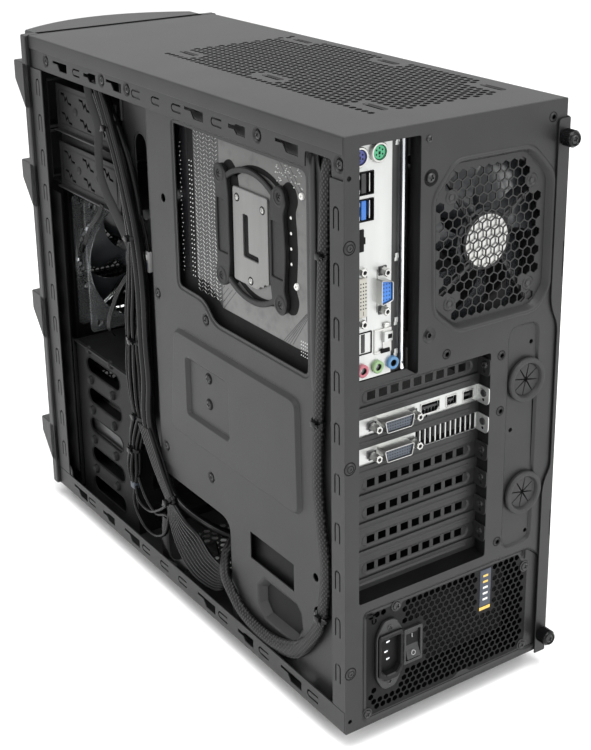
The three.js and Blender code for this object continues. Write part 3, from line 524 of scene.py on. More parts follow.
def piece(name, body, parts, replaces=()):
    """Joins parts into one object that rides on a body."""
    flat = []
    for part in parts:
        flat.extend(part if isinstance(part, list) else [part])
    first = flat[0]
    if len(flat) > 1:
        with bpy.context.temp_override(active_object=first, object=first, selected_objects=flat,
                                       selected_editable_objects=flat):
            bpy.ops.object.join()
    first.name = name
    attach(first, body)
    if replaces:
        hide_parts(*replaces)
    return first


# ---- camera, light and floor ----

def camera():
    azimuth, elevation, roll = (math.radians(a) for a in CAMERA_TURN)
    back = Vector((math.sin(azimuth) * math.cos(elevation), -math.cos(azimuth) * math.cos(elevation),
                   math.sin(elevation)))
    right = Vector((0, 0, 1)).cross(back).normalized()
    up = back.cross(right)
    right, up = (math.cos(roll) * right + math.sin(roll) * up,
                 -math.sin(roll) * right + math.cos(roll) * up)
    data = bpy.data.cameras.new("camera")
    data.lens, data.sensor_width, data.shift_y = CAMERA_LENS, CAMERA_SENSOR, CAMERA_SHIFT
    cam = bpy.data.objects.new("camera", data)
    cam.matrix_world = Matrix.Translation(PLACE @ Vector(CAMERA_AT)) @ \
        Matrix((right, up, back)).transposed().to_4x4()
    bpy.context.scene.collection.objects.link(cam)
    bpy.context.scene.camera = cam


def area_light(name, where, target, size, power):
    data = bpy.data.lights.new(name, "AREA")
    data.shape, data.size, data.size_y, data.energy = "RECTANGLE", size[0], size[1], power
    lamp = bpy.data.objects.new(name, data)
    lamp.location = where
    lamp.rotation_euler = (Vector(where) - Vector(target)).to_track_quat("Z", "Y").to_euler()
    bpy.context.scene.collection.objects.link(lamp)


def studio():
    mesh = bpy.data.meshes.new("floor")
    mesh.from_pydata([(-12, -12, 0), (12, -12, 0), (12, 12, 0), (-12, 12, 0)], [], [(0, 1, 2, 3)])
    floor = bpy.data.objects.new("floor", mesh)
    floor.location.z = -0.0005
    mesh.materials.append(Material("floor").set(Base_Color=(0.92, 0.92, 0.92, 1), Roughness=0.9))
    bpy.context.scene.collection.objects.link(floor)
    bpy.context.scene.view_settings.view_transform = "Standard"
    world = bpy.data.worlds.new("studio")
    bpy.context.scene.world = world
    world.use_nodes = True
    world.node_tree.nodes["Background"].inputs["Color"].default_value = (1, 1, 1, 1)
    world.node_tree.nodes["Background"].inputs["Strength"].default_value = 1.0
    area_light("top", (0.3, 0.3, 2.2), (0, 0, 0.3), (1.8, 1.8), 54)
    area_light("rear", (-0.9, 2.0, 1.2), (0, 0.2, 0.2), (1.4, 1.4), 24)
    area_light("side", (2.2, 0.3, 0.9), (0, 0, 0.2), (0.7, 1.2), 8)


# ---- rear panel ----

GRILLE = [(20, 357), (3.2, 377.2), (-58.4, 376.5), (-77.4, 356.5), (-77.7, 280.5), (-66.6, 267.2),
          (-0.1, 267.4), (18.1, 283)]
BOSSES = [(24.1 - 20.3, 354), (-80.9 + 18, 354), (-80.9 + 18, 284.3), (24.1 - 20.3, 284.3)]
GROMMETS = [(-61.5, 217.3), (-62.6, 133)]
SLOT_MIDDLES = [233.1 - 20.32 * k for k in range(7)]
IO = (31.2, 76.8, 245.4, 398)
SLOTS = (-29.6, 76.8, 94.6, 244.2)
WALL = -10.6


def rear_sheet():
    grille = rounded(GRILLE, 6)
    emboss = rounded([(-44.6, 258), (-72, 258), (-72, 93), (-44.6, 93)], 9)
    supply = rounded([(74.3, 3.2), (73.8, 88), (-44, 88), (-44, 87.5), (-71, 87.5), (-84, 77), (-84, 3.2)], 5)
    upper_holes = [ring(-84, 380.5, 2.4, 12), ring(84.3, 380, 1.6, 10), ring(84.2, 9, 1.6, 10),
                   ring(23.3, 370.6, 5.3, 28), ring(22.7, 268.7, 5.0, 28)]
    main = sheet("XZ", rounded(rect(-HALF, HALF, 0, HEIGHT), 1.2),
                 [rounded(rect(*IO), 1.5), rounded(rect(*SLOTS), 2), grille, emboss, supply, *upper_holes],
                 -1, 0)
    floor = inset(grille, 2.2)
    holes = hexagons(floor, 7.05, 3.58, [(u, v, 2.8) for u, v in BOSSES], margin=1.1)
    parts = [main,
             band("XZ",
                  [(inset(grille, -3), 0.02), (inset(grille, -2.2), 0.7), (inset(grille, -1), 0.7),
                   (inset(grille, 0.2), 0), (inset(grille, 1.6), -3.4), (floor, -4.0)]),
             sheet("XZ", floor, holes, -5.0, -4.0)]
    for u, v in BOSSES:
        parts.append(turned((u, -4.0, v), (0, 1, 0),
                            [(4.9, 0), (4.2, 0.5), (3.2, 0.55), (2.4, 0.1), (2.1, -1.6), (0.01, -1.6)],
                            "paint", 28))
        parts.append(turned((u, -4.6, v), (0, 1, 0), [(1.9, 0), (1.7, 0.9), (0.01, 1.0)], "dull", 20))
    inner = inset(emboss, 1.6)
    grommet_holes = [ring(x, z, 13.4, 32) for x, z in GROMMETS if z > 93]
    small = [ring(-66.2, 243, 1.6, 12), ring(-50.5, 182.6, 1.6, 12), ring(-68, 101, 1.6, 12)]
    parts += [pressed("XZ", emboss, 0, -1.6, 1.6), sheet("XZ", inner, grommet_holes + small, -2.6, -1.6)]
    for u, v in [(-38.6, 240.3), (-39, 200.4), (-40.4, 102.1), (8.2, 252.6), (-75.4, 394), (84.1, 194.5),
                 (83.8, 46), (84.3, 338.1)]:
        radius = 3.85 if u > 80 else 2.9
        # Painted shade: a thin near-black ring round the foot of each pressed seat.
        parts += [turned((u, 0, v), (0, 1, 0), [(radius * 1.2, 0), (radius * 1.18, 0.08), (radius, 0.1)],
                         "void", 28), pressed("XZ", ring(u, v, radius), 0.03, 0.8, radius * 0.3),
                  turned((u, 0, v), (0, 1, 0),
                         [(radius * 0.7, 0.83), (radius * 0.52, 0.8), (radius * 0.45, 0), (0.01, 0)], "inner",
                         28)]
        if u > 80:
            parts.append(turned((u, 0.3, v), (0, 1, 0),
                                [(2.2, 0), (1.9, 0.5), (1.0, 0.6), (0.8, 0.1), (0.01, 0.05)], "dull", 24))
    parts += [screw("XZ", 23.3, 370.6, -0.9, 3.2), screw("XZ", 25.3, 395, 0, 2.2)]
    parts += [turned((23.3, 0, 370.6), (0, 1, 0), [(5.3, 0), (4.2, -0.9), (3.0, -1.0), (0.01, -1.0)],
                     "inner"),
              turned((22.7, 0, 268.7), (0, 1, 0),
                     [(5.0, 0), (3.6, -0.8), (2.3, -0.8), (2.2, 0.3), (1.6, 0.3), (1.5, -1.5), (0.01, -1.5)],
                     "paint")]
    parts += supply_bay(supply)
    parts += recesses()
    piece("rear_sheet", "chassis", parts, ["rear_panel"])


def supply_bay(supply):
    """The pressed frame round the power supply's face."""
    frame_inner = inset(supply, 2)
    opening = rounded([(70, 6), (70, 84), (48, 84), (44, 80), (40, 84), (-62, 84), (-65, 78), (-71, 74),
                       (-71, 13), (-64, 6), (-20, 6), (-17, 9), (-9, 9), (-6, 6)], 2, 3)
    hooks = [pill(64, 72, 82.5, 84.1), pill(64, 65.6, 77, 84.1), pill(-68, -66.2, 79.5, 86.5)]
    marks = [sheet("XZ", hook, [], 0, 0.12, "void", 0.03) for hook in hooks]
    return [pressed("XZ", supply, 0, -1.3, 1.5), sheet("XZ", frame_inner, [opening], -1.8, -1.2), *marks]


def recesses():
    """The walls of the two recesses, and the ribbed floor between the card slots."""
    parts = [
        block((IO[0] - 1, IO[0]), (WALL, -0.2), (IO[2], IO[3]), "inner", 0.2),
        block((IO[0] - 1, IO[1] + 1), (WALL, -0.2), (IO[3], IO[3] + 1), "inner", 0.2),
        block((IO[1], IO[1] + 1), (WALL, -0.2), (SLOTS[2], IO[3]), "inner", 0.2),
        block((SLOTS[0] - 1, SLOTS[0]), (WALL, -0.2), (SLOTS[2], SLOTS[3]), "inner", 0.2),
        block((SLOTS[0] - 1, IO[0]), (WALL, -0.2), (SLOTS[3], SLOTS[3] + 1), "inner", 0.2),
    ]
    openings = [rect(-29.4, 75, z - 6.15, z + 6.15) for z in SLOT_MIDDLES]
    floor = rect(SLOTS[0] - 1, IO[1] + 1, SLOTS[2] - 1, SLOTS[3] + 1)
    parts.append(sheet("XZ", floor, openings, WALL - 1, WALL))
    for z in SLOT_MIDDLES:
        rib = pill(-22, 72, z - 11.4, z - 8.8)
        parts.append(pressed("XZ", rib, WALL, 0.9, 0.9, "paint", True))
    ledge = [([(u, v) for u in (SLOTS[0], IO[1])], level) for v, level in ((94.6, -0.2), (97.2, WALL))]
    parts.append(band("XZ", ledge, "inner"))
    return parts


def connector_shield():
    """The plated shield, its stamped marks and the dark and bright strips beside it."""
    x0, x1, z0, z1 = IO
    parts = [sheet("XZ", rect(44.4, x1 - 0.3, z0 + 0.3, z1 - 0.3),
                   [rect(58.8, 72, 365, 378.6), rect(58.8, 72, 348.6, 361.6)], WALL - 1, WALL - 0.4,
                   "plated")]
    parts.append(block((37.4, 44.4), (WALL - 3, WALL - 1.2), (z0 + 0.3, z1 - 0.3), "dull"))
    parts.append(block((34.2, 37.4), (WALL - 2, WALL + 1.1), (z0 + 0.3, z1 - 0.3), "chrome", 1.2, 4))
    parts.append(block((x0, 34.2), (WALL - 3, WALL - 2), (z0 + 0.3, z1 - 0.3), "inner", 0.2))
    for z in (393, 320, 278, 257):
        parts.append(block((38.6, 41.4), (WALL - 1.4, WALL - 0.6), (z, z + 3.4), "plated", 0.3))
        parts.append(block((39.4, 42), (WALL - 1.4, WALL - 0.4), (z - 1.6, z + 0.8), "plated", 0.3))
    for x, low, high in ((63.2, 281, 316), (55.4, 288, 316)):
        parts.append(block((x - 0.25, x + 0.25), (WALL - 0.5, WALL - 0.3), (low, high), "void", 0.05, 1))
    piece("shield_sheet", "chassis", parts, ["io_shield"])


def port(x, z, rim, tongue, depth=9, out=0.2, bar="steel"):
    """A rectangular socket: rim, dark throat, coloured tongue and bright spring contacts."""
    (x0, x1), (z0, z1), y = x, z, WALL + out
    hole = rounded(rect(x0 + 0.7, x1 - 0.7, z0 + 0.7, z1 - 0.7), 0.5)
    wide = (x1 - x0) * 0.14
    middle = x0 + (x1 - x0) * 0.58
    return [sheet("XZ", rounded(rect(x0, x1, z0, z1), 0.6), [hole], y - depth, y, rim),
            block((x0 + 0.4, x1 - 0.4), (y - depth - 1, y - depth), (z0 + 0.4, z1 - 0.4), "void", 0.1),
            block((middle - wide, middle + wide), (y - depth, y - 0.5), (z0 + 1.2, z1 - 1.2), tongue, 0.3),
            block((x0 + 2.4, x0 + 3.2), (y - depth, y - 0.9), (z0 + 1.6, z1 - 1.6), bar, 0.2),
            block((x1 - 1.9, x1 - 0.8), (y - depth, y + 0.4), (z0 + 1.4, z0 + 4.2), "plated", 0.2),
            block((x1 - 1.9, x1 - 0.8), (y - depth, y + 0.4), (z1 - 4.2, z1 - 1.4), "plated", 0.2)]


def connectors():
    """The round sockets, and the upper two pairs of rectangular ones."""
    parts = []
    for x, z, mat in ((55.2, 389.5, "green"), (69.8, 388.5, "navy")):
        parts += [turned((x, WALL - 1, z), (0, 1, 0),
                         [(6.4, -8), (6.4, 2.4), (5.9, 3), (4.9, 3), (4.4, 1.6), (4.3, 0.4)], "steel", 40),
                  turned((x, WALL - 1, z), (0, 1, 0), [(4.4, 0), (4.4, 1.7), (4.1, 2.1), (0.01, 2.1)], mat,
                         40)]
        for k in range(6):
            a = math.radians(60 * k + 30)
            parts.append(turned((x + 2.6 * math.cos(a), WALL + 1.12, z + 2.6 * math.sin(a)), (0, 1, 0),
                                [(0.6, 0.04), (0.01, 0.05)], "void", 10))
        parts.append(block((x - 0.8, x + 0.8), (WALL, WALL + 1.2), (z - 1.4, z + 0.5), "void", 0.1))
    piece("round_sockets", "chassis", parts, ["keyboard_mouse_ports"])
    piece("display_sockets", "chassis", port((58.2, 71), (364.4, 379), "void", "plastic"), ["display_ports"])
    piece("usb_sockets", "chassis", port((58.2, 71), (348, 362.2), "void", "blue"), ["usb_ports"])


def studded_connector(x, z, width, height, mat, rows, columns, depth=5.2, pin="void", shell="steel",
                      turn=False):
    """A flared metal connector with a moulded insert of small square contacts and two hex jack posts."""
    y = WALL
    half_w, half_h = width / 2, height / 2
    slant = height * 0.22
    if turn:
        outline = [(x - half_h, z - half_w + slant), (x + half_h, z - half_w), (x + half_h, z + half_w),
                   (x - half_h, z + half_w - slant)]
        posts = [(x, z - half_w - 4.4), (x, z + half_w + 4.4)]
    else:
        outline = [(x - half_w + slant, z - half_h), (x + half_w - slant, z - half_h),
                   (x + half_w, z + half_h), (x - half_w, z + half_h)]
        posts = [(x - half_w - 4.4, z), (x + half_w + 4.4, z)]
    outline = rounded(outline, 1.4)
    inner = inset(outline, 0.55)
    parts = [sheet("XZ", outline, [inner], y - 3, y + depth, shell, 0.2),
             sheet("XZ", inset(outline, 0.8), [], y - 3, y + depth - 1.4, mat, 0.2)]
    for row in range(rows):
        for col in range(columns):
            a = ((col + 0.5) / columns - 0.5) * (width - 4)
            b = ((row + 0.5) / rows - 0.5) * (height - 2.6)
            u, v = (x + b, z + a) if turn else (x + a, z + b)
            parts.append(block((u - 0.42, u + 0.42), (y + depth - 2, y + depth - 1.32), (v - 0.42, v + 0.42),
                               pin, 0.1, 1))
    for u, v in posts:
        parts.append(turned((u, y, v), (0, 1, 0),
                            [(2.8, -1), (2.8, depth - 0.6), (2.5, depth), (1.5, depth), (1.3, depth - 1.4),
                             (0.01, depth - 1.4)], "steel", 6, 20))
        parts.append(screw("XZ", u, v, y + depth - 1.6, 1.5))
        parts.append(block((u - 3, u + 3), (y - 0.5, y + 0.3), (v - 3, v + 3), "dull", 0.3))
    return parts


def video_sockets():
    """The video sockets, the openings below them and the audio jacks."""
    parts = studded_connector(51.4, 302, 16.5, 9, "blue", 3, 5, 5.4, "void", "steel", True)
    parts.append(sheet("XZ", rounded(rect(63.8, 73, 287.6, 313), 1), [], WALL - 2, WALL + 1.2, "bone", 0.3))
    for row in range(4):
        for col in range(8):
            u, v = 65 + row * 1.9, 293.4 + col * 2.3
            parts.append(block((u - 0.5, u + 0.5), (WALL, WALL + 1.25), (v - 0.5, v + 0.5), "void", 0.1, 1))
    parts.append(block((66.6, 67.1), (WALL, WALL + 1.25), (289, 291.8), "void", 0.1, 1))
    for z in (283.4, 317):
        parts += [turned((67, WALL, z), (0, 1, 0),
                         [(2.9, -1), (2.9, 2.4), (2.5, 3), (1.5, 3), (1.3, 1.6), (0.01, 1.6)], "steel", 6,
                         20), screw("XZ", 67, z, WALL + 1.4, 1.6)]
    piece("video_sockets", "chassis", parts, ["video_ports"])
    parts = port((59.4, 71), (262.6, 277.4), "void", "plastic")
    parts += [sheet("XZ", rounded(rect(44.4, 57.8, 260.5, 277), 0.8), [rect(51.2, 57, 262.4, 275.4)],
                    WALL - 6, WALL + 0.5, "steel", 0.3),
              block((50.4, 57.6), (WALL - 7, WALL - 5.6), (261, 276.8), "void", 0.2),
              block((44.6, 51.4), (WALL, WALL + 2.2), (268, 274.6), "plated", 0.6),
              block((45.4, 48.6), (WALL + 1, WALL + 2.4), (270, 273), "void", 0.2),
              block((46, 53), (WALL - 0.5, WALL + 1.2), (260.6, 263.4), "void", 0.5),
              block((46, 51), (WALL - 0.5, WALL + 1.6), (277.2, 280.4), "steel", 0.8),
              block((65.6, 70.6), (WALL - 3, WALL + 0.3), (329.4, 343.6), "void", 0.5),
              block((64.6, 70.6), (WALL - 3, WALL + 0.32), (334, 338.4), "void", 0.3)]
    piece("network_socket", "chassis", parts, ["network_port"])
    parts = []
    for x, mat in ((67, "pink"), (55.4, "lime"), (43.6, "sky")):
        parts += [turned((x, WALL - 1, 252.4), (0, 1, 0),
                         [(4.2, -6), (4.2, 2.6), (3.7, 3.1), (2.6, 3.1), (2.2, 2.6)], mat, 28),
                  turned((x, WALL - 1, 252.4), (0, 1, 0), [(2.2, 2.6), (2.1, -5), (0.01, -5)], "void", 28)]
    piece("audio_sockets", "chassis", parts, ["audio_jacks"])


def slot_covers():
    """The five blank covers, each with a sunk field and nine squares."""
    for number, z in enumerate(SLOT_MIDDLES, 1):
        if number in (2, 3):
            continue
        squares = [rect(61.2 - 9.3 * k - 6.2, 61.2 - 9.3 * k, z - 3.0, z + 2.5) for k in range(9)]
        rim = pill(-24.5, 66, z - 4.8, z + 4.3)
        parts = [sheet("XZ", rect(-29.3, 76, z - 9.2, z + 9.2), [rim], -12.75, -11.95),
                 pressed("XZ", rim, -11.95, -0.9, 1.2), sheet("XZ", inset(rim, 1.2), squares, -13.6, -12.85)]
        parts += tab(z, "paint")
        piece(f"blank_cover_{number}", "chassis", parts, [f"slot_cover_{number}"])


def tab(z, mat):
    """The folded end of a card bracket, with its notch and screw."""
    outline = rounded([(-12.7, z - 6.4), (-1.6, z - 6.4), (0.5, z - 3.6), (0.5, z + 6.4), (-12.7, z + 6.4)],
                      [0, 2, 2, 1.6, 0])
    parts = [sheet("YZ", outline, [], -29.3, -28.5, mat, 0.2)]
    parts += [screw("YZ", -5, z + 1.5, -28.5, 2.6),
              turned((-28.45, -5, z - 3.2), (1, 0, 0), [(1.1, 0), (0.01, 0.05)], "void", 14)]
    return parts


def graphics_connectors():
    """The card's two-slot bracket, its vents and sockets, and a dark plate behind the vents as painted shade.
    """
    upper, lower = SLOT_MIDDLES[1], SLOT_MIDDLES[2]
    vents = [rect(22.8 - 4.3 * k - 3.3, 22.8 - 4.3 * k, lower - 6.3, lower + 6.1) for k in range(12)]
    outline = rect(-29.3, 76, lower - 9.2, upper + 9.2)
    openings = [rounded([(3.2, upper + 3.2), (3.2, upper - 1.6), (5.6, upper - 4.2), (16.4, upper - 4.2),
                         (18.8, upper - 1.6), (18.8, upper + 3.2)], 0.8),
                rounded(rect(-11.2, -2.6, upper - 3.4, upper + 2.4), 1),
                rounded(rect(-25.4, -16.8, upper - 3.4, upper + 2.4), 1)]
    parts = [sheet("XZ", outline, vents + openings, -12.75, -11.95, "plated")]
    for z in (upper, lower):
        parts += studded_connector(42.2, z - 0.4, 24, 8.6, "slate", 3, 10, 7.5)
        parts += tab(z, "plated")
    for u0, u1 in ((3.2, 18.8), (-11.2, -2.6), (-25.4, -16.8)):
        parts += [block((u0 + 1.6, u1 - 1.6), (-20, -12.6), (upper - 1.2, upper + 0.6), "plastic", 0.2),
                  block((u0, u1), (-22, -20), (upper - 5, upper + 4), "void", 0.1)]
        parts.append(sheet("XZ", rounded(rect(u0 - 0.5, u1 + 0.5, upper - 4.6, upper + 3.6), 1.2),
                           [rounded(rect(u0 + 0.2, u1 - 0.2, upper - 3.9, upper + 2.9), 1)], -12.2, -11.4,
                           "steel"))
    parts.append(turned((14, -12, upper - 5.9), (0, 1, 0), [(0.9, 0.1), (0.01, 0.12)], "void", 12))
    piece("graphics_connectors", "chassis", parts, ["graphics_bracket"])
    # Painted shade: a near-black plate behind the vents, where the inside of the card is in shade.
    floor = [block((-28, 60), (-20, -16), (lower - 8, lower + 7), "void", 0.2)]
    piece("graphics_shadow_plate", "chassis", floor)


def grommets():
    """Two rubber grommets, each with a ring and eight petals."""
    for number, (x, z) in enumerate(GROMMETS, 1):
        parts = [turned((x, 0, z), (0, 1, 0),
                        [(12.6, -1.6), (15.2, -1.5), (15.7, -0.6), (15.8, 1.0), (15.3, 1.9), (13.8, 2.3),
                         (12.4, 1.9), (11.6, 0.8), (11.2, -0.9)], "rubber", 56)]
        petals = 8
        for k in range(petals):
            a0, a1 = 360 / petals * k + 12, 360 / petals * (k + 1) + 12
            spread = arc(x, z, 11.3, a0, a1, 6)
            middle = math.radians((a0 + a1) / 2)
            tip = (x + 0.9 * math.cos(middle), z + 0.9 * math.sin(middle))
            parts.append(sheet("XZ", inset([tip, *spread], 0.22), [], -1.3, -0.35, "rubber", 0.1))
        parts.append(turned((x, -2.6, z), (0, 1, 0), [(12, 0), (0.01, 0)], "void"))
        piece(f"grommet_{number}", "chassis", parts, [f"cable_grommet_{number}"])


# ---- fans ----

def blade(centre, axis_index, radius, hub, depth, phase, sweep=42.0, twist=0.85, sign=1):
    """One swept fan blade about a main axis, as a thin closed sheet."""
    steps_r, steps_w, thick = 9, 8, 0.9
    points, faces = [], []
    for face in (0, 1):
        for i in range(steps_r + 1):
            s = i / steps_r
            r = hub + (radius - hub) * s
            for j in range(steps_w + 1):
                w = j / steps_w
                angle = math.radians(phase + sweep * (w - 0.5) * (0.85 + 0.25 * s) + 24 * s * s)
                height = (w - 0.5) * depth * twist * (1 - 0.25 * s) + (thick if face else 0)
                height += 1.2 * math.sin(math.pi * w)
                u, v = r * math.cos(angle), r * math.sin(angle)
                local = {0: (height * sign, u, v), 1: (u, height * sign, v),
                         2: (u, v, height * sign)}[axis_index]
                points.append([centre[k] + local[k] for k in range(3)])
    row, grid = steps_w + 1, (steps_r + 1) * (steps_w + 1)
    for face in (0, 1):
        for i in range(steps_r):
            for j in range(steps_w):
                a = face * grid + i * row + j
                faces.append((a, a + 1, a + row + 1, a + row))
    rim = [i * row for i in range(steps_r + 1)] + [steps_r * row + j for j in range(1, steps_w + 1)]
    rim += [i * row + steps_w for i in range(steps_r - 1, -1, -1)] + list(range(steps_w - 1, 0, -1))
    for a, b in zip(rim, rim[1:] + rim[:1]):
        faces.append((a, b, b + grid, a + grid))
    return points, faces


def rotor(name, body, node, axis_index, blades, mat="blade", sign=1, cap="plastic"):
    low, high = ([v / MM for v in corner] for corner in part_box(node))
    centre = middle_of(low, high)
    spans = [b - a for a, b in zip(low, high)]
    depth = spans[axis_index]
    radius = max(spans) / 2
    hub = radius * 0.37
    axis = [0, 0, 0]
    axis[axis_index] = sign
    parts = []
    for k in range(blades):
        points, faces = blade(centre, axis_index, radius, hub * 0.97, depth, 360 / blades * k, 300 / blades,
                              0.8, sign)
        parts.append(from_faces("blade", points, faces, mat, 50))
    half = depth / 2
    parts.append(turned(centre, axis,
                        [(0.01, -half), (hub * 0.9, -half), (hub, -half + 1), (hub, half - 1.5),
                         (hub * 0.93, half - 0.3), (hub * 0.8, half), (0.01, half)], mat, 48))
    parts.append(turned(centre, axis,
                        [(hub * 0.78, half + 0.05), (hub * 0.74, half + 0.25), (0.01, half + 0.25)], cap, 48))
    piece(name, body, parts, [node])


def fan_frame(name, node, axis_index, sign, mat="plastic", label="steel"):
    """A square fan frame: ring, corner lugs, four ribs and the motor disc on the side that sign gives."""
    low, high = ([v / MM for v in corner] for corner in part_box(node))
    centre = middle_of(low, high)
    plane = {0: "YZ", 1: "XZ", 2: "XY"}[axis_index]
    across = [k for k in range(3) if k != axis_index]
    half = max(high[across[0]] - low[across[0]], high[across[1]] - low[across[1]]) / 2
    thick = (high[axis_index] - low[axis_index]) / 2
    u, v, level = centre[across[0]], centre[across[1]], centre[axis_index]
    bore = half * 0.955
    lugs = [(a, b) for a in (-1, 1) for b in (-1, 1)]
    lug_at = half * 0.875
    body = rounded(rect(u - half, u + half, v - half, v + half), half * 0.08)
    holes = [ring(u + a * lug_at, v + b * lug_at, half * 0.036, 16) for a, b in lugs]
    parts = []
    for end in (-1, 1):
        a, b = sorted((level + end * thick, level + end * (thick - 2.6)))
        parts.append(sheet(plane, body, [ring(u, v, bore, 72), *holes], a, b, mat, 0.4))
    loops = [(ring(u, v, bore + 1.8, 72), level - thick + 1), (ring(u, v, bore + 1.8, 72), level + thick - 1),
             (ring(u, v, bore, 72), level + thick - 0.5), (ring(u, v, bore, 72), level - thick + 0.5)]
    parts.append(band(plane, loops, mat))
    for a, b in lugs:
        parts.append(band(plane,
                          [(ring(u + a * lug_at, v + b * lug_at, half * 0.062, 20), level - thick + 1),
                           (ring(u + a * lug_at, v + b * lug_at, half * 0.062, 20), level + thick - 1)], mat))
    motor = half * 0.335
    face = level + sign * thick
    back = face - sign * 2.8
    axis = [0, 0, 0]
    axis[axis_index] = sign
    at_face = list(centre)
    at_face[axis_index] = back
    parts.append(turned(at_face, axis,
                        [(motor, 0), (motor, 1.6), (motor - 0.8, 2.3), (motor - 1.6, 2.4), (motor - 2, 1.9)],
                        mat, 48))
    parts.append(turned(at_face, axis, [(motor - 1.9, 1.9), (motor - 2.1, 2.05), (0.01, 2.05)], label, 48,
                        20))
    for k in range(4):
        a = math.radians(45 + 90 * k)
        b = a + 0.14
        rib = [(u + r * math.cos(t) + w * -math.sin(t), v + r * math.sin(t) + w * math.cos(t)) for r, t,
               w in ((motor - 1, a, -1.6), (bore + 1, b, -1.3), (bore + 1, b, 1.3), (motor - 1, a, 1.6))]
        lo, hi = sorted((back + sign * 0.3, face - sign * 0.4))
        parts.append(sheet(plane, ccw(rib), [], lo, hi, mat, 0.3))
    piece(name, "chassis", parts, [node])


# ---- power supply ----

def power_supply():
    """The supply's vented face, case, fan guard, striped label and screws."""
    low, high = -1.9, -1.35
    face = rect(-73.5, 75, 3, 87.5)
    region = rounded(rect(-69, 70, 6.5, 84), 2)
    keep = [(69.7, 8.1, 3.4), (-68.3, 8.1, 3.4), (-68.3, 76, 4), (45.7, 82.1, 4), (41, 64, 28, 71),
            (45, 60, 22, 76.5), (23.5, 41, 35, 62), (-38.6, -26.2, 50, 83)]
    holes = hexagons(region, 5.1, 2.28, keep)
    parts = [sheet("XZ", face, holes, low, high, "inner", 0.1)]
    body = [block((-74.3, -73.3), (-161, -2), (2.2, 88), "inner", 0.3),
            block((74.7, 75.7), (-161, -2), (2.2, 88), "inner", 0.3),
            block((-74, 75.4), (-161, -2), (87.1, 88.1), "inner", 0.3),
            block((-74, 75.4), (-161.2, -160.2), (2.2, 88), "inner", 0.3)]
    mouth = ring(0, -91, 60, 64)
    body.append(sheet("XY", rect(-74, 75.4, -161, -2), [mouth], 2.1, 3.1, "inner"))
    for k in range(1, 7):
        body.append(band("XY", [(ring(0, -91, 9 * k, 48), 3.4), (ring(0, -91, 9 * k + 1.2, 48), 2.6)],
                         "dull"))
    for k in range(4):
        a = math.radians(45 + 90 * k)
        body.append(tube([(8 * math.cos(a), -91 + 8 * math.sin(a), 3),
                          (63 * math.cos(a), -91 + 63 * math.sin(a), 3)], 0.9, "dull", 8, 2))
    inside_box = [block((-60, 30), (-60, -12), (20, 70), "void", 2),
                  block((34, 70), (-80, -30), (20, 76), "void", 2)]
    lines = []
    lines.append(block((-37.2, -27.5), (low, -1.1), (54, 82.5), "label", 0.15))
    lines.append(block((-37.2, -27.5), (low, -1.1), (51, 53.4), "amber", 0.15))
    for k in range(5):
        z = 78.5 - k * 4.6
        lines.append(block((-34.6, -30.2), (-1.4, -1.0), (z - 1.6, z), "amber" if k < 2 else "white", 0.08))
    for u, v in ((69.7, 8.6), (-68.3, 8.6), (-68.3, 72.6), (45.7, 83)):
        lines += [turned((u, -0.9, v), (0, 1, 0), [(4.3, 0), (4.1, 0.25), (3.2, 0.3)], "paint", 28),
                  screw("XZ", u, v, -0.9, 2.9)]
    for u in (-45, -52, -59):
        lines.append(block((u - 2.2, u + 2.2), (-30, -26), (84, 87), "steel"))
    piece("supply_case", "chassis", [parts, body, inside_box, lines], ["psu_case"])
    inlet_socket()
    rocker_switch()


def inlet_socket():
    """The mains inlet with its eared plate and three blades."""
    x, z = 52.5, 49.4
    ears = rounded([(x - 10.6, z - 16), (x - 5, z - 26), (x + 5, z - 26), (x + 10.6, z - 16),
                    (x + 10.6, z + 16), (x + 5, z + 26), (x - 5, z + 26), (x - 10.6, z + 16)], 3.5)
    collar = rounded([(x - 10, z - 14), (x - 5, z - 18.5), (x + 5, z - 18.5), (x + 10, z - 14),
                      (x + 10, z + 17), (x - 10, z + 17)], 1.6)
    mouth = rounded([(x - 8, z - 9.6), (x - 4, z - 14), (x + 4, z - 14), (x + 8, z - 9.6), (x + 8, z + 13.6),
                     (x - 8, z + 13.6)], 0.8)
    parts = [sheet("XZ", ears, [mouth], -1.3, 1.3, "plastic", 0.5),
             sheet("XZ", collar, [mouth], 0.8, 3.6, "gloss", 0.8),
             band("XZ", [(mouth, 2.6), (inset(mouth, 0.4), -13)], "void"),
             block((x - 7.4, x + 7.4), (-14.4, -13), (z - 12.2, z + 12.2), "void", 0.1)]
    for dz, dx in ((-4.5, 0), (1.5, 1.6), (8.5, 0)):
        parts.append(block((x + dx - 1.6, x + dx + 1.6), (-13, -0.6), (z + dz - 0.8, z + dz + 0.8), "chrome",
                           0.5))
    parts += [screw("XZ", x, z + 20.6, 0.9, 2.3), screw("XZ", x, z - 20.6, 0.9, 2.3)]
    piece("inlet_socket_moulding", "chassis", parts, ["psu_inlet"])


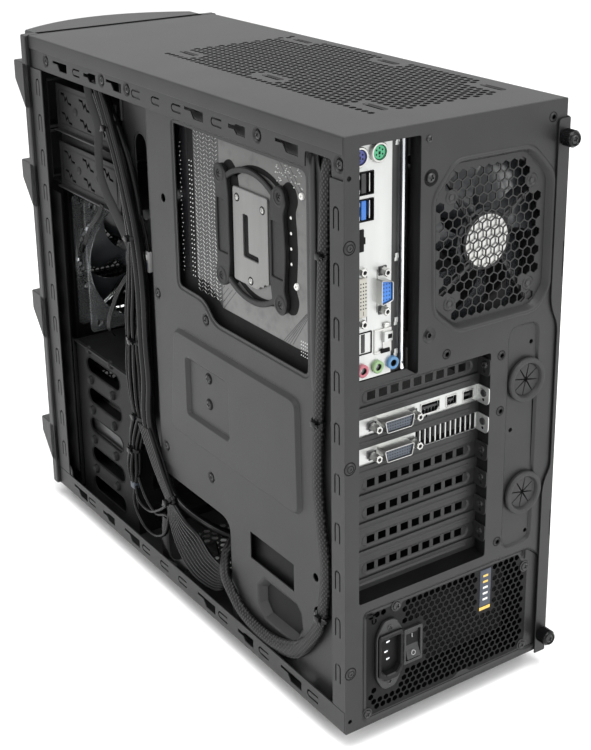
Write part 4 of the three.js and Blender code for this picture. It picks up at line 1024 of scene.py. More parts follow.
def rocker_switch():
    """The switch frame, and the rocker at rest, tilted 8 degrees."""
    x, z = 32, 48.5
    outer = rounded(rect(x - 8, x + 8, z - 13.5, z + 13.5), 1.2)
    window = rounded(rect(x - 6, x + 6, z - 11.3, z + 11.3), 0.8)
    piece("switch_frame", "chassis", [sheet("XZ", outer, [window], -8, 0.6, "plastic", 0.4),
                                      block((x - 6, x + 6), (-10, -8), (z - 11, z + 11), "void", 0.1)],
          ["psu_switch_frame"])
    pivot = Vector((x, -2.3, z))
    profile = rounded([(-6, 0), (-2.2, 10.2), (2.6, 10.2), (0.9, 3), (0.9, -3), (2.6, -10.2), (-2.2, -10.2)],
                      0.7, 3)
    key = sheet("YZ", ccw(profile), [], x - 5.6, x + 5.6, "plastic", 0.3)
    marks = [block((x - 0.35, x + 0.35), (1.1, 2.3), (4.8, 7.8), "print", 0.1),
             turned((x, 2.0, -6.4), (0, 1, 0), [(1.35, -0.6), (1.35, 0.3), (1.8, 0.3), (1.8, -0.6)], "print",
                    28)]
    tilt = Matrix.Rotation(math.radians(8), 4, "X")
    move = PLACE @ Matrix.Translation(pivot) @ tilt @ Matrix.Translation((-x, 0, 0)) @ PLACE.inverted()
    for part in marks:
        part.data.transform(move)
    key.data.transform(move)
    piece("rocker_key", "rocker", [key, *marks], ["psu_rocker"])


# ---- left cover, screws, feet ----

def side_cover():
    """The sliding cover of the far side, and its two thumbscrews."""
    flange = rounded([(-89.3, -2), (-79.6, -2), (-79.6, 130), (-81.5, 138), (-86.4, 146), (-86.4, 252),
                      (-81.5, 262), (-79.6, 270), (-79.6, 392.5), (-89.3, 392.5)],
                     [0.6, 0.6, 3, 6, 6, 6, 6, 3, 3, 0.6])
    holes = [ring(-84, 380.5, 2.3, 14), ring(-84, 14, 2.3, 14), rect(-88.6, -87.9, 285, 310),
             rect(-88.6, -87.9, 92, 112)]
    parts = [sheet("XZ", ccw(flange), holes, 0.75, 1.8)]
    parts.append(sheet("YZ", rounded(rect(-435.7, 1.2, -2, 393), 1), [], -89.3, -88.3))
    step = rounded(rect(-415, -25, 20, 370), 12)
    parts.append(pressed("YZ", step, -89.32, -0.01, 5))
    piece("left_cover", "side_panel", parts, ["left_side_panel"])
    for name, z in (("upper", 380.5), ("lower", 14)):
        knurl = []
        for k in range(28):
            a = 2 * math.pi * k / 28
            u, v = -84 + 5.3 * math.cos(a), z + 5.3 * math.sin(a)
            knurl.append(tube([(u, 3.6, v), (u, 10.6, v)], 0.5, "gloss", 6, 2, smooth=False))
        head = turned((-84, 0, z), (0, 1, 0),
                      [(0.01, -7), (1.6, -7), (1.6, 2.1), (4.0, 2.1), (4.6, 2.6), (5.4, 3.2), (5.4, 10.8),
                       (4.9, 11.8), (4.3, 12.4), (3.8, 12.3), (3.3, 11.6), (0.01, 11.2)], "gloss", 56)
        cap = screw("XZ", -84, z, 10.9, 3.2)
        piece(f"thumbscrew_{name}_head", f"{name}_thumbscrew", [head, cap, *knurl], [f"thumbscrew_{name}"])


def feet():
    for number in range(1, 5):
        low, high = ([v / MM for v in corner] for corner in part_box(f"foot_{number}"))
        x, y = (low[0] + high[0]) / 2, (low[1] + high[1]) / 2 - PLACE.translation.y / MM
        base = -PLACE.translation.z / MM
        parts = [turned((x, y, base), (0, 0, 1),
                        [(0.01, 0.2), (8, 0.2), (8.4, 0), (11.4, 0), (12.2, 0.6), (13.9, 11.4), (13.9, 12.4),
                         (13.2, 12.7), (0.01, 12.7)], "rubber", 48),
                 turned((x, y, base + 0.3), (0, 0, 1), [(2.2, 0), (2.1, 3), (0.01, 3)], "void", 20)]
        piece(f"foot_pad_{number}", "chassis", parts, [f"foot_{number}"])


# ---- open side, top, bottom and front sheets ----

KEYS = [(-392.8, -368, False), (-338.3, -318.1, True), (-300.6, -276.9, False), (-184.7, -160.2, False),
        (-128.2, -108.2, True), (-73.4, -48.8, False)]
NOTCH = (-41.6, -14.2)


def key_slot(y0, y1, arrow, low, high):
    """A slot for a hook on the cover: a narrow tail that steps or tapers into a wide mouth."""
    tail, mouth = y0 + (y1 - y0) * 0.33, y0 + (y1 - y0) * 0.48
    if arrow:
        return ccw([(y0, high - 3.9), (tail, high - 3.9), (mouth, low), (y1, low), (y1, high), (mouth, high),
                    (tail, high - 1.3), (y0, high - 1.3)])
    return ccw([(y0, high - 2), (tail, high - 2), (mouth, low), (y1, low), (y1, high), (y0, high)])


def tongue(u0, u1, v0, v1, upright=False, wide=1.15):
    """A U-shaped cut round a small tab, closed at u0, or at v1 when upright."""
    if upright:
        u, r = (u0 + u1) / 2, (u1 - u0) / 2
        return [(u1, v0), *arc(u, v1 - r, r, 0, 180, 8), (u0, v0), (u0 + wide, v0),
                *arc(u, v1 - r, r - wide, 180, 0, 8), (u1 - wide, v0)]
    v, r = (v0 + v1) / 2, (v1 - v0) / 2
    return [(u1, v1), *arc(u0 + r, v, r, 90, 270, 8), (u1, v0), (u1, v0 + wide),
            *arc(u0 + r, v, r - wide, 270, 90, 8), (u1, v1 - wide)]


def top_sheet():
    """The folded top with vents, pressed pads, key slots, tongues and screw seats."""
    y0, y1, top = 1.3 - DEPTH, -1.3, HEIGHT
    pads = [(x, y) for x, ys in ((25.2, (-283, -169, -53.3)), (-71, (-273, -164, -52.3))) for y in ys]
    keep = [(x - 5.5, x + 5.5, y - 15, y + 15) for x, y in pads]
    holes = hexagons(rect(-82, 42, -299, -34), 6.3, 2.55, keep, 10, 0, True)
    slots = [pill(x - 3, x + 3, y - 12, y + 12) for x, y in pads]
    parts = [sheet("XY", rect(-85, 85, y0, y1), holes + slots, top - 1, top, edge=0)]
    for slot in slots:
        parts.append(pressed("XY", slot, top, -0.8, 0.9))
        parts.append(sheet("XY", inset(slot, 0.9), [inset(slot, 2)], top - 1.8, top - 0.8, edge=0))
    for side in (-1, 1):
        profile = [(85, top), (HALF, top), (HALF, 394.4), (85.8, 394.4), (85.8, 395.4), (87, 395.4),
                   (87, top - 1), (85, top - 1)]
        folded = rounded([(side * u, v) for u, v in profile], [0, 2.2, 0.5, 0, 0, 0, 1.2, 0], 5)
        parts.append(sheet("XZ", ccw(folded), [], y0, y1))
    flange = [(y0, 379), (NOTCH[0], 379), (NOTCH[0], 389), (NOTCH[1], 389), (NOTCH[1], 378), (y1, 378),
              (y1, 395.2), (y0, 395.2)]
    seats = [(-406.3, 388), (-308.6, 388), (-268.2, 388), (-94, 388), (-6.9, 387.5)]
    holes = [key_slot(a, b, arrow, 383.6, 390.4) for a, b, arrow in KEYS]
    holes += [tongue(a, b, 383.8, 389.8) for a,
              b in ((-357.8, -345.5), (-261.1, -248.2), (-231.7, -220.1), (-203, -190.1), (-150.2, -136.8))]
    holes += [ring(y, z, 5.2) for y, z in seats]
    parts.append(sheet("YZ", rounded(flange, [0.5, 0.5, 3, 3, 3, 1, 0, 0]), holes, 85.8, 86.8))
    parts.append(sheet("YZ", rect(y0, y1, 379, 395.2), [], -86.8, -85.8))
    for y, z in seats:
        # Painted shade: a near-black disc under each screw head, showing as a dark ring round it.
        parts += [pressed("YZ", ring(y, z, 5.2), 86.8, -1.3, 1.1),
                  sheet("YZ", ring(y, z, 4.2), [], 84.7, 85.5, "void"), screw("YZ", y, z, 85.5, 2.9)]
    piece("top_folded_sheet", "chassis", parts, ["top_panel"])


def bottom_sheet():
    """The folded bottom with vents, key slots, tongues and one corner plate."""
    y0, y1 = 1.3 - DEPTH, -1.3
    vents = hexagons(rect(-58, 58, -150, -32), 8, 3.5) + hexagons(rect(-50, 50, -290, -190), 8, 3.5)
    parts = [sheet("XY", rect(-86, 86, y0, y1), vents, 0, 1, edge=0)]
    for side in (-1, 1):
        profile = [(86, 0), (HALF, 0), (HALF, 4), (87, 4), (87, 1), (86, 1)]
        parts.append(sheet("XZ", ccw(rounded([(side * u, v) for u, v in profile], [0, 1.6, 0, 0, 0.8, 0])),
                           [], y0, y1))
        holes = []
        if side > 0:
            spans = [(-406, -381, 0), (-350.5, -329.5, 1), (-310.7, -285.3, 0), (-191.4, -165.8, 0),
                     (-133.5, -112.8, 1), (-76.7, -51.4, 0)]
            holes = [key_slot(a, b, arrow, 4.6, 11.4) for a, b, arrow in spans]
            holes += [tongue(y - 6.5, y + 6.5, 5.4, 11.2)
                      for y in (-372, -274.5, -244.2, -215.3, -155, -99.3, -38.1)]
        wall = sorted((side * 87, side * HALF))
        parts.append(sheet("YZ", rounded(rect(y0, y1, 3.6, 16.5), 0.6), holes, *wall))
    parts += dimple("YZ", -8.6, 12.1, 88.0, 3.6, -0.9, "paint", "paint")
    parts += [sheet("YZ",
                    rounded([(-434.5, 3), (-411, 3), (-411, 21), (-415, 25), (-431, 25), (-434.5, 21)], 1.5),
                    [], 86.2, 87.2), *dimple("YZ", -423, 19.3, 87.2, 3.8, -0.8, "paint", "paint")]
    piece("bottom_folded_sheet", "chassis", parts, ["bottom_panel"])


def front_sheet():
    """The front sheet with its side strips, and the strips at the rear that match them."""
    front = -DEPTH
    bays = rect(-74.5, 74.5, 281.5, 367.9)
    fans = [ring(0, 207, 57, 64), ring(0, 78, 57, 64)]
    holes = [pill(u - 14, u + 14, 386, 392) for u in (-45, 0, 45)]
    parts = [sheet("XZ", rect(-HALF, HALF, 0, HEIGHT), [bays, *fans, *holes], front, front + 1, "inner")]
    tabs = [tongue(-426, -419.4, 357.4 - 29.5 * k, 371.4 - 29.5 * k, True) for k in range(12)]
    parts.append(sheet("YZ", rounded(rect(front + 0.5, front + 21, 17, 379), 0.8), tabs, 87, 88))
    parts.append(sheet("YZ", rect(front + 0.5, front + 21, 17, 378), [], -88, -87))
    for x in (80, 66):
        parts.append(block((x - 0.6, x + 0.6), (front + 1, front + (26 if x > 70 else 10)), (20, 276),
                           "inner", 0.3))
    for z in (268, 300, 345, 60, 120, 180):
        parts.append(screw("XZ", 83.5, z, front + 1, 2.4))
    piece("front_folded_sheet", "chassis", parts, ["front_frame"])
    strips = [tongue(-11.2, -5.2, 348.2 - 34.6 * k, 362.4 - 34.6 * k, True) for k in range(10)]
    parts = [sheet("YZ", rounded(rect(-14.5, -0.6, 16.8, 378.6), 0.8), strips, 87, 88),
             sheet("YZ", rect(-14.5, -0.6, 17, 378.6), [], -88, -87)]
    piece("rear_side_strips", "chassis", parts, ())


# ---- motherboard tray ----

WINDOW = [(-213, 373), (-213, 253), (-178, 252), (-165, 238.5), (-50, 238.5), (-50, 373)]
STEP = (-264, -251)


def tray():
    """The motherboard tray: window, pressed fields, cable slot, ramp and stepped channel."""
    window = rounded(WINDOW[::-1], [6, 5, 8, 9, 4, 1.5])
    lip = inset(window, -3)
    raised = rounded([(-221.7, 219), (-231.4, 133.4), (-57.4, 132.9), (-59.3, 218.9)], 9)
    sunk = rounded([(-204.7, 201.7), (-204.7, 154), (-143.7, 154), (-143.7, 201.7)], 5)
    cup = rounded([(-107.5, 64.2), (-116.5, 54.2), (-116.2, 38.7), (-106.9, 29), (-67.7, 29), (-57.7, 44.8),
                   (-59.6, 58.7), (-66, 64.2)], 1.6, 3)
    slot = rect(-124, -69, 71.5, 92.5)
    supply = rounded([(STEP[1] + 0.2, 1.4), (-152, 1.4), (-152, 88), (STEP[1] + 0.2, 88)], [0, 0, 13, 0], 6)
    edge = rounded([(STEP[1] + 0.2, 1.4), (-142, 1.4), (-142, 97), (STEP[1] + 0.2, 97)], [0, 0, 16, 0], 6)
    seats = [(-246.1, 237), (-176.1, 237.1), (-176.3, 113.1), (-243.5, 111.9), (-22.5, 312), (-19.5, 267),
             (-20.5, 214)]
    small = [ring(-230.8, 314.4, 3.2, 20), ring(-42.7, 95.7, 3, 20), pill(-36, -9, 372, 398)]
    small += [ring(y, z, 4.6) for y, z in seats]
    outline = ccw([(STEP[1], 97), (STEP[1], 403.7), (-1.5, 403.7), (-1.5, 1.4), (-142, 1.4), *edge[2:-1]])
    parts = [sheet("YZ", outline, [lip, raised, cup, slot, *small], 80, 81, edge=0.1),
             pressed("YZ", lip, 81, -0.7, 0.8), sheet("YZ", inset(lip, 0.8), [window], 79.3, 80.3)]
    parts += [pressed("YZ", raised, 81, 2.6, 3), sheet("YZ", inset(raised, 3), [sunk], 82.6, 83.6, edge=0),
              pressed("YZ", sunk, 83.6, -2.6, 3), sheet("YZ", inset(sunk, 3), [], 80, 81),
              pressed("YZ", cup, 81, -6, 7.5), sheet("YZ", inset(cup, 7.5), [], 74, 75, edge=0)]
    parts += [sheet("YZ",
                    ccw([(-142, 1.4), *edge[2:-1], (STEP[1], 97), (STEP[1], 88), *supply[::-1][1:-2],
                         (-152, 1.4)]), [], 79.4, 80.4, edge=0.1)]
    for y, z in seats:
        # Painted shade: a near-black disc under each screw head, showing as a dark ring round it.
        parts += [pressed("YZ", ring(y, z, 4.6), 81, -0.9, 0.9),
                  sheet("YZ", ring(y, z, 3.8), [], 79.3, 80.1, "void"), screw("YZ", y, z, 80.1, 2.7)]
    # Painted shade: near-black rings under these two screws.
    parts += [screw("YZ", -174.7, 192.6, 81, 3.1), screw("YZ", -174.8, 172.4, 81, 3.1),
              turned((81, -174.7, 192.6), (1, 0, 0), [(4.4, 0), (4.3, 0.2), (3.2, 0.3)], "void", 28),
              turned((81, -174.8, 172.4), (1, 0, 0), [(4.4, 0), (4.3, 0.2), (3.2, 0.3)], "void", 28)]
    for low, high in ((88.2, 403.7), (1.4, 6)):
        curve = [(0, 0), (0.1, 0.02), (0.3, 0.16), (0.5, 0.5), (0.7, 0.84), (0.9, 0.98), (1, 1)]
        steps = [(STEP[1] + (STEP[0] - STEP[1]) * a, 81 - 9 * b) for a, b in curve]
        points = [(x, y, z) for z in (low, high) for y, x in steps] + [
            (x - 1, y, z) for z in (low, high) for y, x in steps]
        n = len(steps)
        faces = [(i, i + 1, n + i + 1, n + i) for i in range(n - 1)] + [
            (2 * n + i, 3 * n + i, 3 * n + i + 1, 2 * n + i + 1) for i in range(n - 1)]
        parts.append(from_faces("ramp", points, faces, "paint", 60))
    channel = rect(-307, STEP[0], 88.2, 403.7)
    parts.append(sheet("YZ", channel, [pill(-287.5, -270, 284, 351)], 71, 72, edge=0.1))
    parts += [pressed("YZ", pill(-289.3, -268.2, 282.2, 352.8), 72.02, 0.5, 0.7),
              block((62, 72), (-308, -307), (150, 403.7), "paint"),
              block((71, 74), (-306.5, -304), (356, 402), "paint", 0.8)]
    ridge = [(78.5, -44, 386), (80.5, -42.5, 383), (81.4, -41.5, 376), (81.4, -41, 340), (81.4, -41, 238),
             (80.5, -41, 232)]
    parts.append(tube(ridge, 3.6, "paint", 16, 6, 0.55))
    piece("tray_sheet", "chassis", parts, ["motherboard_tray"])


def joints_on_board(points, size, mat="plated"):
    """Tinned solder joints: small flattened domes on the back of the board."""
    verts, faces = [], []
    for y, z in points:
        base = len(verts)
        for radius, height in ((size, 0), (size * 0.8, 0.3), (size * 0.3, 0.6)):
            verts += [(BOARD_BACK + height, y + radius * math.cos(a), z + radius * math.sin(a))
                      for a in (math.pi / 3 * k for k in range(6))]
        faces += [(base + 6 * r + k, base + 6 * r + (k + 1) % 6, base + 6 * r + 6 + (k + 1) % 6,
                   base + 6 * r + 6 + k) for r in (0, 1) for k in range(6)]
        faces.append(tuple(base + 12 + k for k in range(6)))
    return from_faces("joints", verts, faces, mat, 60)


def board_back():
    """The board from behind, its solder joints, and the parts on its face."""
    parts = [block((72.5, BOARD_BACK), (-257, -13), (95.5, 400.5), "board", 0.2)]
    parts.append(block((BOARD_BACK, BOARD_BACK + 0.06), (-257, -205.5), (240, 400), "mask", 0.02, 1))
    parts.append(block((BOARD_BACK, BOARD_BACK + 0.06), (-205.5, -197), (240, 400), "void", 0.02, 1))
    parts.append(block((BOARD_BACK, BOARD_BACK + 0.05), (-197, -163), (246, 400), "mask", 0.02, 1))
    dashes = [(-194.4 + 4.1 * column, 254 + 2.9 * row, 1 if column % 2 else -1) for column in range(8)
              for row in range(41)]
    verts, faces = [], []
    for y, z, lean in dashes:
        for half, rise, height in ((1.2, 0.27, 0.08), (1.1, 0.17, 0.4)):
            for a, b in ((-half, -rise), (half, -rise), (half, rise), (-half, rise)):
                verts.append((BOARD_BACK + height, y + a, z + b + a * lean * 0.6))
        n = len(verts) - 8
        faces += [(n + 4, n + 5, n + 6, n + 7)] + [(n + k, n + (k + 1) % 4, n + 4 + (k + 1) % 4, n + 4 + k)
                                                   for k in range(4)]
    parts.append(from_faces("dashes", verts, faces, "plated", 30))
    dots = [(y + 1.2 * (k % 2), 262 + 3.3 * k) for y in (-224.5, -216.5) for k in range(30)]
    dots += [(-203 + 3 * column, 262 + 3.4 * k) for column in (0, 1) for k in range(26)]
    dots += [(random.uniform(-246, -228), random.uniform(250, 396)) for _ in range(24)]
    dots += [(random.uniform(-93, -62), random.uniform(356, 371)) for _ in range(40)]
    dots += [(-66 + 2.2 * (k % 7), 246 + 2.4 * (k // 7)) for k in range(35)]
    parts.append(joints_on_board(dots, 0.6))
    parts.append(joints_on_board([(-76.1, 336 - 10.3 * k) for k in range(4)], 1.3, "white"))
    lines = [(-92 + 4 * k, 244 + 1.5 * k, -60 + 2 * k, 276 + 1.5 * k) for k in range(5)]
    lines += [(-182 + 5 * k, 244, -160 + 5 * k, 266) for k in range(4)] + [(-90 + 5 * k, 372, -72 + 5 * k,
                                                                            354) for k in range(3)]
    for y0, z0, y1, z1 in lines:
        run = Vector((y1 - y0, z1 - z0)).normalized() * 0.22
        ribbon = [(y0 - run.y, z0 + run.x), (y0 + run.y, z0 - run.x), (y1 + run.y, z1 - run.x),
                  (y1 - run.y, z1 + run.x)]
        parts.append(sheet("YZ", ccw(ribbon), [], BOARD_BACK, BOARD_BACK + 0.12, "mask", 0.02))
    pins = [(-240 + 10 * k + 2 * (j % 2), 110 + 2 * j) for k in range(16) for j in range(56)]
    parts.append(joints_on_board([p for p in pins if -222 < p[0] < -52 or p[1] < 200], 0.5, "dull"))
    # Painted shade: a near-black band on the board under the lower edge of the tray window.
    low = [(-225, 232), (-44, 232), (-44, 251), (-72, 249), (-163, 249), (-182, 262), (-225, 264)]
    parts.append(sheet("YZ", low, [], BOARD_BACK, BOARD_BACK + 0.14, "void", 0.02))
    for y, z in ((-62.8, 353.4), (-69.6, 291.8)):
        parts.append(turned((BOARD_BACK, y, z), (1, 0, 0),
                            [(2.3, 0), (2.3, 1.2), (1.9, 1.6), (0.8, 1.6), (0.7, 0.4), (0.01, 0.4)], "white",
                            28))
    face = [block((60, 72.4), (-254, -246), (330, 382), "plastic", 0.5),
            block((61, 72.4), (-190, -160), (126, 156), "aluminium", 1.5),
            block((70, 72.4), (-142, -100), (291, 333), "steel", 0.5)]
    for z in (108, 138.5):
        face.append(block((62, 72.4), (-150, -62), (z, z + 7), "plastic", 0.5))
    for k in range(9):
        face.append(turned((72.4, -32 - 9.5 * (k % 3), 352 - 11 * k), (-1, 0, 0),
                           [(3.4, 0), (3.4, 9), (3.1, 9.6), (0.01, 9.6)], "aluminium", 20))
    for k in range(7):
        face.append(block((65, 72.4), (-60, -50), (280 + 10.5 * k, 288 + 10.5 * k), "slate", 0.5))
    piece("main_board", "chassis", [parts, face], ["motherboard"])


def backplates():
    """The cooler's bracket and the socket's plate, on the back of the board, with a painted shadow of the
    bracket on the board.
    """
    (y, z), x = PROCESSOR, BOARD_BACK + 0.3
    half = 36.5
    right = [(half - 9, -half - 2), (half - 2, -half - 7.5), (half + 5, -half - 5), (half + 8, -half + 3),
             (half + 4.5, -half + 10), (half + 6, -12), (half + 6.8, 0), (half + 6, 12),
             (half + 4.5, half - 10), (half + 8, half - 3), (half + 5, half + 5), (half - 2, half + 7.5),
             (half - 9, half + 2), (half - 11.5, half - 12), (half - 11.5, 12 - half)]
    parts = []
    for side in (-1, 1):
        bar = ccw(rounded([(y + side * u, z + v) for u, v in right][::side], [3] * 15, 3))
        pads = rounded(rect(*sorted((y + side * 27, y + side * 40)), z - 19, z + 19), 1.2)
        holes = [ring(y + side * half, z + v * half, 2.6, 20) for v in (-1, 1)]
        parts += [sheet("YZ", bar, [pads, *holes], x, x + 3.6, "plate", 0.5),
                  sheet("YZ", pads, [], x, x + 2.5, "plate", 0.2)]
        outer = arc(y, z - side * 4.6, 51.6, side * 90 - 36, side * 90 + 36, 18)
        inner = arc(y, z - side * 4.6, 47.6, side * 90 + 36, side * 90 - 36, 18)
        parts.append(sheet("YZ", ccw(outer + inner), [], x + 0.4, x + 3.3, "plate", 0.6))
        # Painted shadow: a near-black copy of each bar and arc, shifted 8 mm in Y and 2.5 mm in Z, laid on
        # the board.
        for line in (inset(bar, -1.2), ccw(outer + inner)):
            parts.append(sheet("YZ", [(u + 8, v + 2.5) for u, v in line], [], BOARD_BACK, BOARD_BACK + 0.12,
                               "void", 0.02))
        for end in (-1, 1):
            at_y, at_z = y + side * half, z + end * half
            seat = [(7.0, 0), (6.8, 0.5), (6.2, 0.8), (5.2, 0.8), (4.7, 0.2), (4.5, -1.4), (0.01, -1.5)]
            # Painted shade: a near-black ring under each screw head.
            parts += [turned((x + 3.1, at_y, at_z), (1, 0, 0), seat, "plate"),
                      turned((x + 1.9, at_y, at_z), (1, 0, 0), [(4.3, 0), (4.2, 0.3), (3.6, 0.35)], "void",
                             28), screw("YZ", at_y, at_z, x + 1.8, 3.1)]
    piece("cooler_back_bracket", "chassis", parts, ["cooler_backplate"])
    slot = [(y - 10, z - 16), (y + 9, z - 16), (y + 9, z - 12), (y - 3, z - 12), (y - 3, z + 14),
            (y - 10, z + 14)]
    plate = [(y - 22, z - 35), (y + 8, z - 35), (y + 9.5, z - 32), (y + 14, z - 32), (y + 15, z - 29),
             (y + 20.5, z - 29), (y + 20.5, z + 31), (y - 21.5, z + 31)]
    parts = [sheet("YZ", rounded(plate, 2.2, 3), [rounded(slot, 1.4, 3)], x, x + 2, "plate_steel", 0.4),
             block((x - 0.4, x + 0.6), (y - 9, y + 12), (z - 19, z + 14), "void", 0.1)]
    for u, v in ((-16, 24), (15, 22), (-1, -31)):
        # Painted shade: a near-black ring under each screw head.
        parts += [turned((x + 2, y + u, z + v), (1, 0, 0), [(3.0, 0), (2.9, 0.15), (2.2, 0.1)], "void", 24),
                  screw("YZ", y + u, z + v, x + 1.9, 2.0, 1, "steel")]
    piece("socket_back_plate", "chassis", parts, ["socket_backplate"])


# ---- drive cages ----

def stroke(path, width):
    """The outline of a line of even width through the points."""
    lines = []
    for side in (1, -1):
        for i, point in enumerate(path):
            here = Vector(point)
            one = (here - Vector(path[i - 1])).normalized() if i else (Vector(path[1]) - here).normalized()
            two = (Vector(path[i + 1]) - here).normalized() if i < len(path) - 1 else one
            across = Vector((-one.y - two.y, one.x + two.x)).normalized()
            reach = width / 2 / max(0.5, across.dot(Vector((-one.y, one.x))))
            lines.append(tuple(here + across * reach * side))
    middle = len(path)
    return ccw(lines[:middle] + lines[middle:][::-1])


def zigzag(y, z):
    """A Z-shaped spring cut beside a mounting boss."""
    return stroke([(y + u, z + v) for u,
                   v in ((-9.5, 3.2), (-3.6, 3.0), (-1.4, -1.6), (1.6, 1.4), (3.8, -3.0), (9.5, -3.4))], 1.9)


def optical_cage():
    """The plates of the two upper bays, with their spring cuts, bosses and ledges."""
    y0, y1 = -416, -309.5
    parts = []
    for side in (-1, 1):
        x = sorted((side * 74.5, side * 75.5))
        for low, high in ((281.5, 319.5), (329.5, 367.9)):
            middle = (low + high) / 2
            cuts = [zigzag(y, middle + dz) for y in (-398, -364, -330) for dz in (-7.5, 8.5)]
            parts.append(sheet("YZ", rounded(rect(y0, y1, low, high), 1.5), cuts, *x, "cage"))
            parts.append(pressed("YZ", rounded(rect(-413, -313, low + 4, high - 3), 4),
                                 x[1] if side > 0 else x[0], 0.45 * side, 2, "cage"))
            for y in (-381, -347):
                parts.append(turned((side * 75, y, middle + 0.5), (side, 0, 0),
                                    [(3.4, 0), (3.2, 0.9), (2.2, 1.6), (0.01, 1.9)], "cage", 24))
            parts.append(block(sorted((side * 75, side * 79)), (y0, y1), (low - 0.6, low + 0.8), "paint"))
            parts.append(block(sorted((side * 66, side * 75)), (y0, y1), (low, low + 1), "cage", 0.3))
        parts.append(block(sorted((side * 70, side * 73)), (y0, y1), (318, 331), "inner", 0.3))
    parts.append(block((-74.5, 74.5), (y0, y1), (281.5, 282.5), "inner", 0.3))
    parts.append(block((-75, 75), (-434.7, y0), (281.5, 283), "inner", 0.3))
    piece("optical_cage", "chassis", parts, ["optical_bay_cage"])


def drive_bays():
    """The lower cage with five trays, its perforated strip, and the one drive in it."""
    front, rear, top = -411, -309.5, 145
    parts = []
    ovals = [pill(front + 20, rear - 22, 17.5 + BAY_PITCH * k - 6.5, 17.5 + BAY_PITCH * k + 6.5)
             for k in range(5)]
    parts.append(sheet("YZ", rounded(rect(front, rear, 1.3, top), 1.5), ovals, 74, 75, "inner"))
    for oval in ovals:
        parts.append(pressed("YZ", inset(oval, -1.6), 75, 0.5, 0.8, "inner"))
    for k in range(5):
        for y in (-345, -385):
            parts.append(turned((75, y, 31.5 + BAY_PITCH * k), (1, 0, 0),
                                [(4.2, 0), (3.9, 1.3), (2.6, 2.6), (0.01, 3)], "inner", 24))
    parts += [block((74.6, 77.4), (front, rear), (top - 1, top + 0.3), "cage"),
              block((-75, 75), (front, rear), (top - 1, top), "inner", 0.3)]
    for k in range(5):
        z = 2 + BAY_PITCH * k
        parts += [block(x, (front, rear), (z, z + 1), "inner", 0.3) for x in ((-75, -50), (58, 74))]
    windows = [rounded(rect(-60, 60, 17.5 + BAY_PITCH * k - 8, 17.5 + BAY_PITCH * k + 8), 4)
               for k in range(5)]
    parts += [sheet("XZ", rect(-75, 75, 1.3, top), windows, y, y + 1, "inner") for y in (front, rear - 1)]
    strip = rounded(rect(-434, front - 3, 3, 138), 1)
    dots = hexagons(rect(-432, -415, 92, 134), 5.6, 1.7, (), 12) + hexagons(rect(-432, -415, 8, 50), 5.6, 1.7,
                                                                            (), 12)
    parts.append(sheet("YZ", strip, dots + [pill(-428, -419, 55, 88)], 74, 75, "cage"))
    parts.append(block((75, 77), (front - 4, front - 2.6), (3, 145), "cage"))
    piece("drive_bay_cage", "chassis", parts, ["drive_cage"])
    low, high = 61, 85.5
    parts = [block((-72, 72), (-409, -311), (low + 4.5, high), "dull", 1.5),
             block((-72, 72), (-404, -316), (low, low + 5), "steel", 0.8),
             sheet("XY", rounded(rect(-66, 60, -404, -316), 5), [ring(0, -360, 14, 40)], high, high + 0.5,
                   "steel"),
             turned((0, -360, high), (0, 0, 1), [(13.4, 0), (13.4, 0.4), (9, 0.5), (8.6, 0.2), (0.01, 0.2)],
                    "steel", 40),
             sheet("XY", rounded(rect(-60, -20, -398, -322), 2), [], high + 0.45, high + 0.6, "slate")]
    piece("disk_drive", "chassis", parts, ["hard_drive"])


# ---- cooler, memory, graphics card ----

def processor_cooler():
    """Fins on four heat pipes, over a base on the processor."""
    y, z = PROCESSOR
    parts = []
    for k in range(46):
        level = z - 45 + 2 * k
        parts.append(sheet("XY", rounded(rect(20, 56, y - 46, y + 46), 2), [], level - 0.25, level + 0.25,
                           "aluminium", 0.05))
    for dy in (-30, -12, 12, 30):
        for x in (30, 46):
            parts.append(turned((x, y + dy, z - 47), (0, 0, 1),
                                [(0.01, 0), (2.6, 0.5), (3, 2), (3, 92), (2.6, 93.5), (0.01, 94)], "brass",
                                20))
    parts += [block((56, 64.2), (y - 15, y + 15), (z - 15, z + 15), "aluminium", 1),
              block((62, 70), (y - 20, y + 20), (z - 20, z + 20), "aluminium", 1)]
    piece("cooler_fins", "chassis", parts, ["cpu_heatsink"])


def memory():
    """Two memory modules with chips on both faces."""
    for number, y in ((1, -206), (2, -225)):
        parts = [block((41.5, 72), (y - 0.7, y + 0.7), (250.2, 382.8), "board", 0.2)]
        for k in range(8):
            zed = 258 + 15.4 * k
            parts += [block((48, 60), (y + 0.7, y + 1.6), (zed, zed + 9.5), "plastic", 0.2),
                      block((48, 60), (y - 1.6, y - 0.7), (zed, zed + 9.5), "plastic", 0.2)]
        parts.append(block((69.5, 72), (y - 0.8, y + 0.8), (254, 379), "brass", 0.1))
        piece(f"memory_card_{number}", "chassis", parts, [f"memory_module_{number}"])


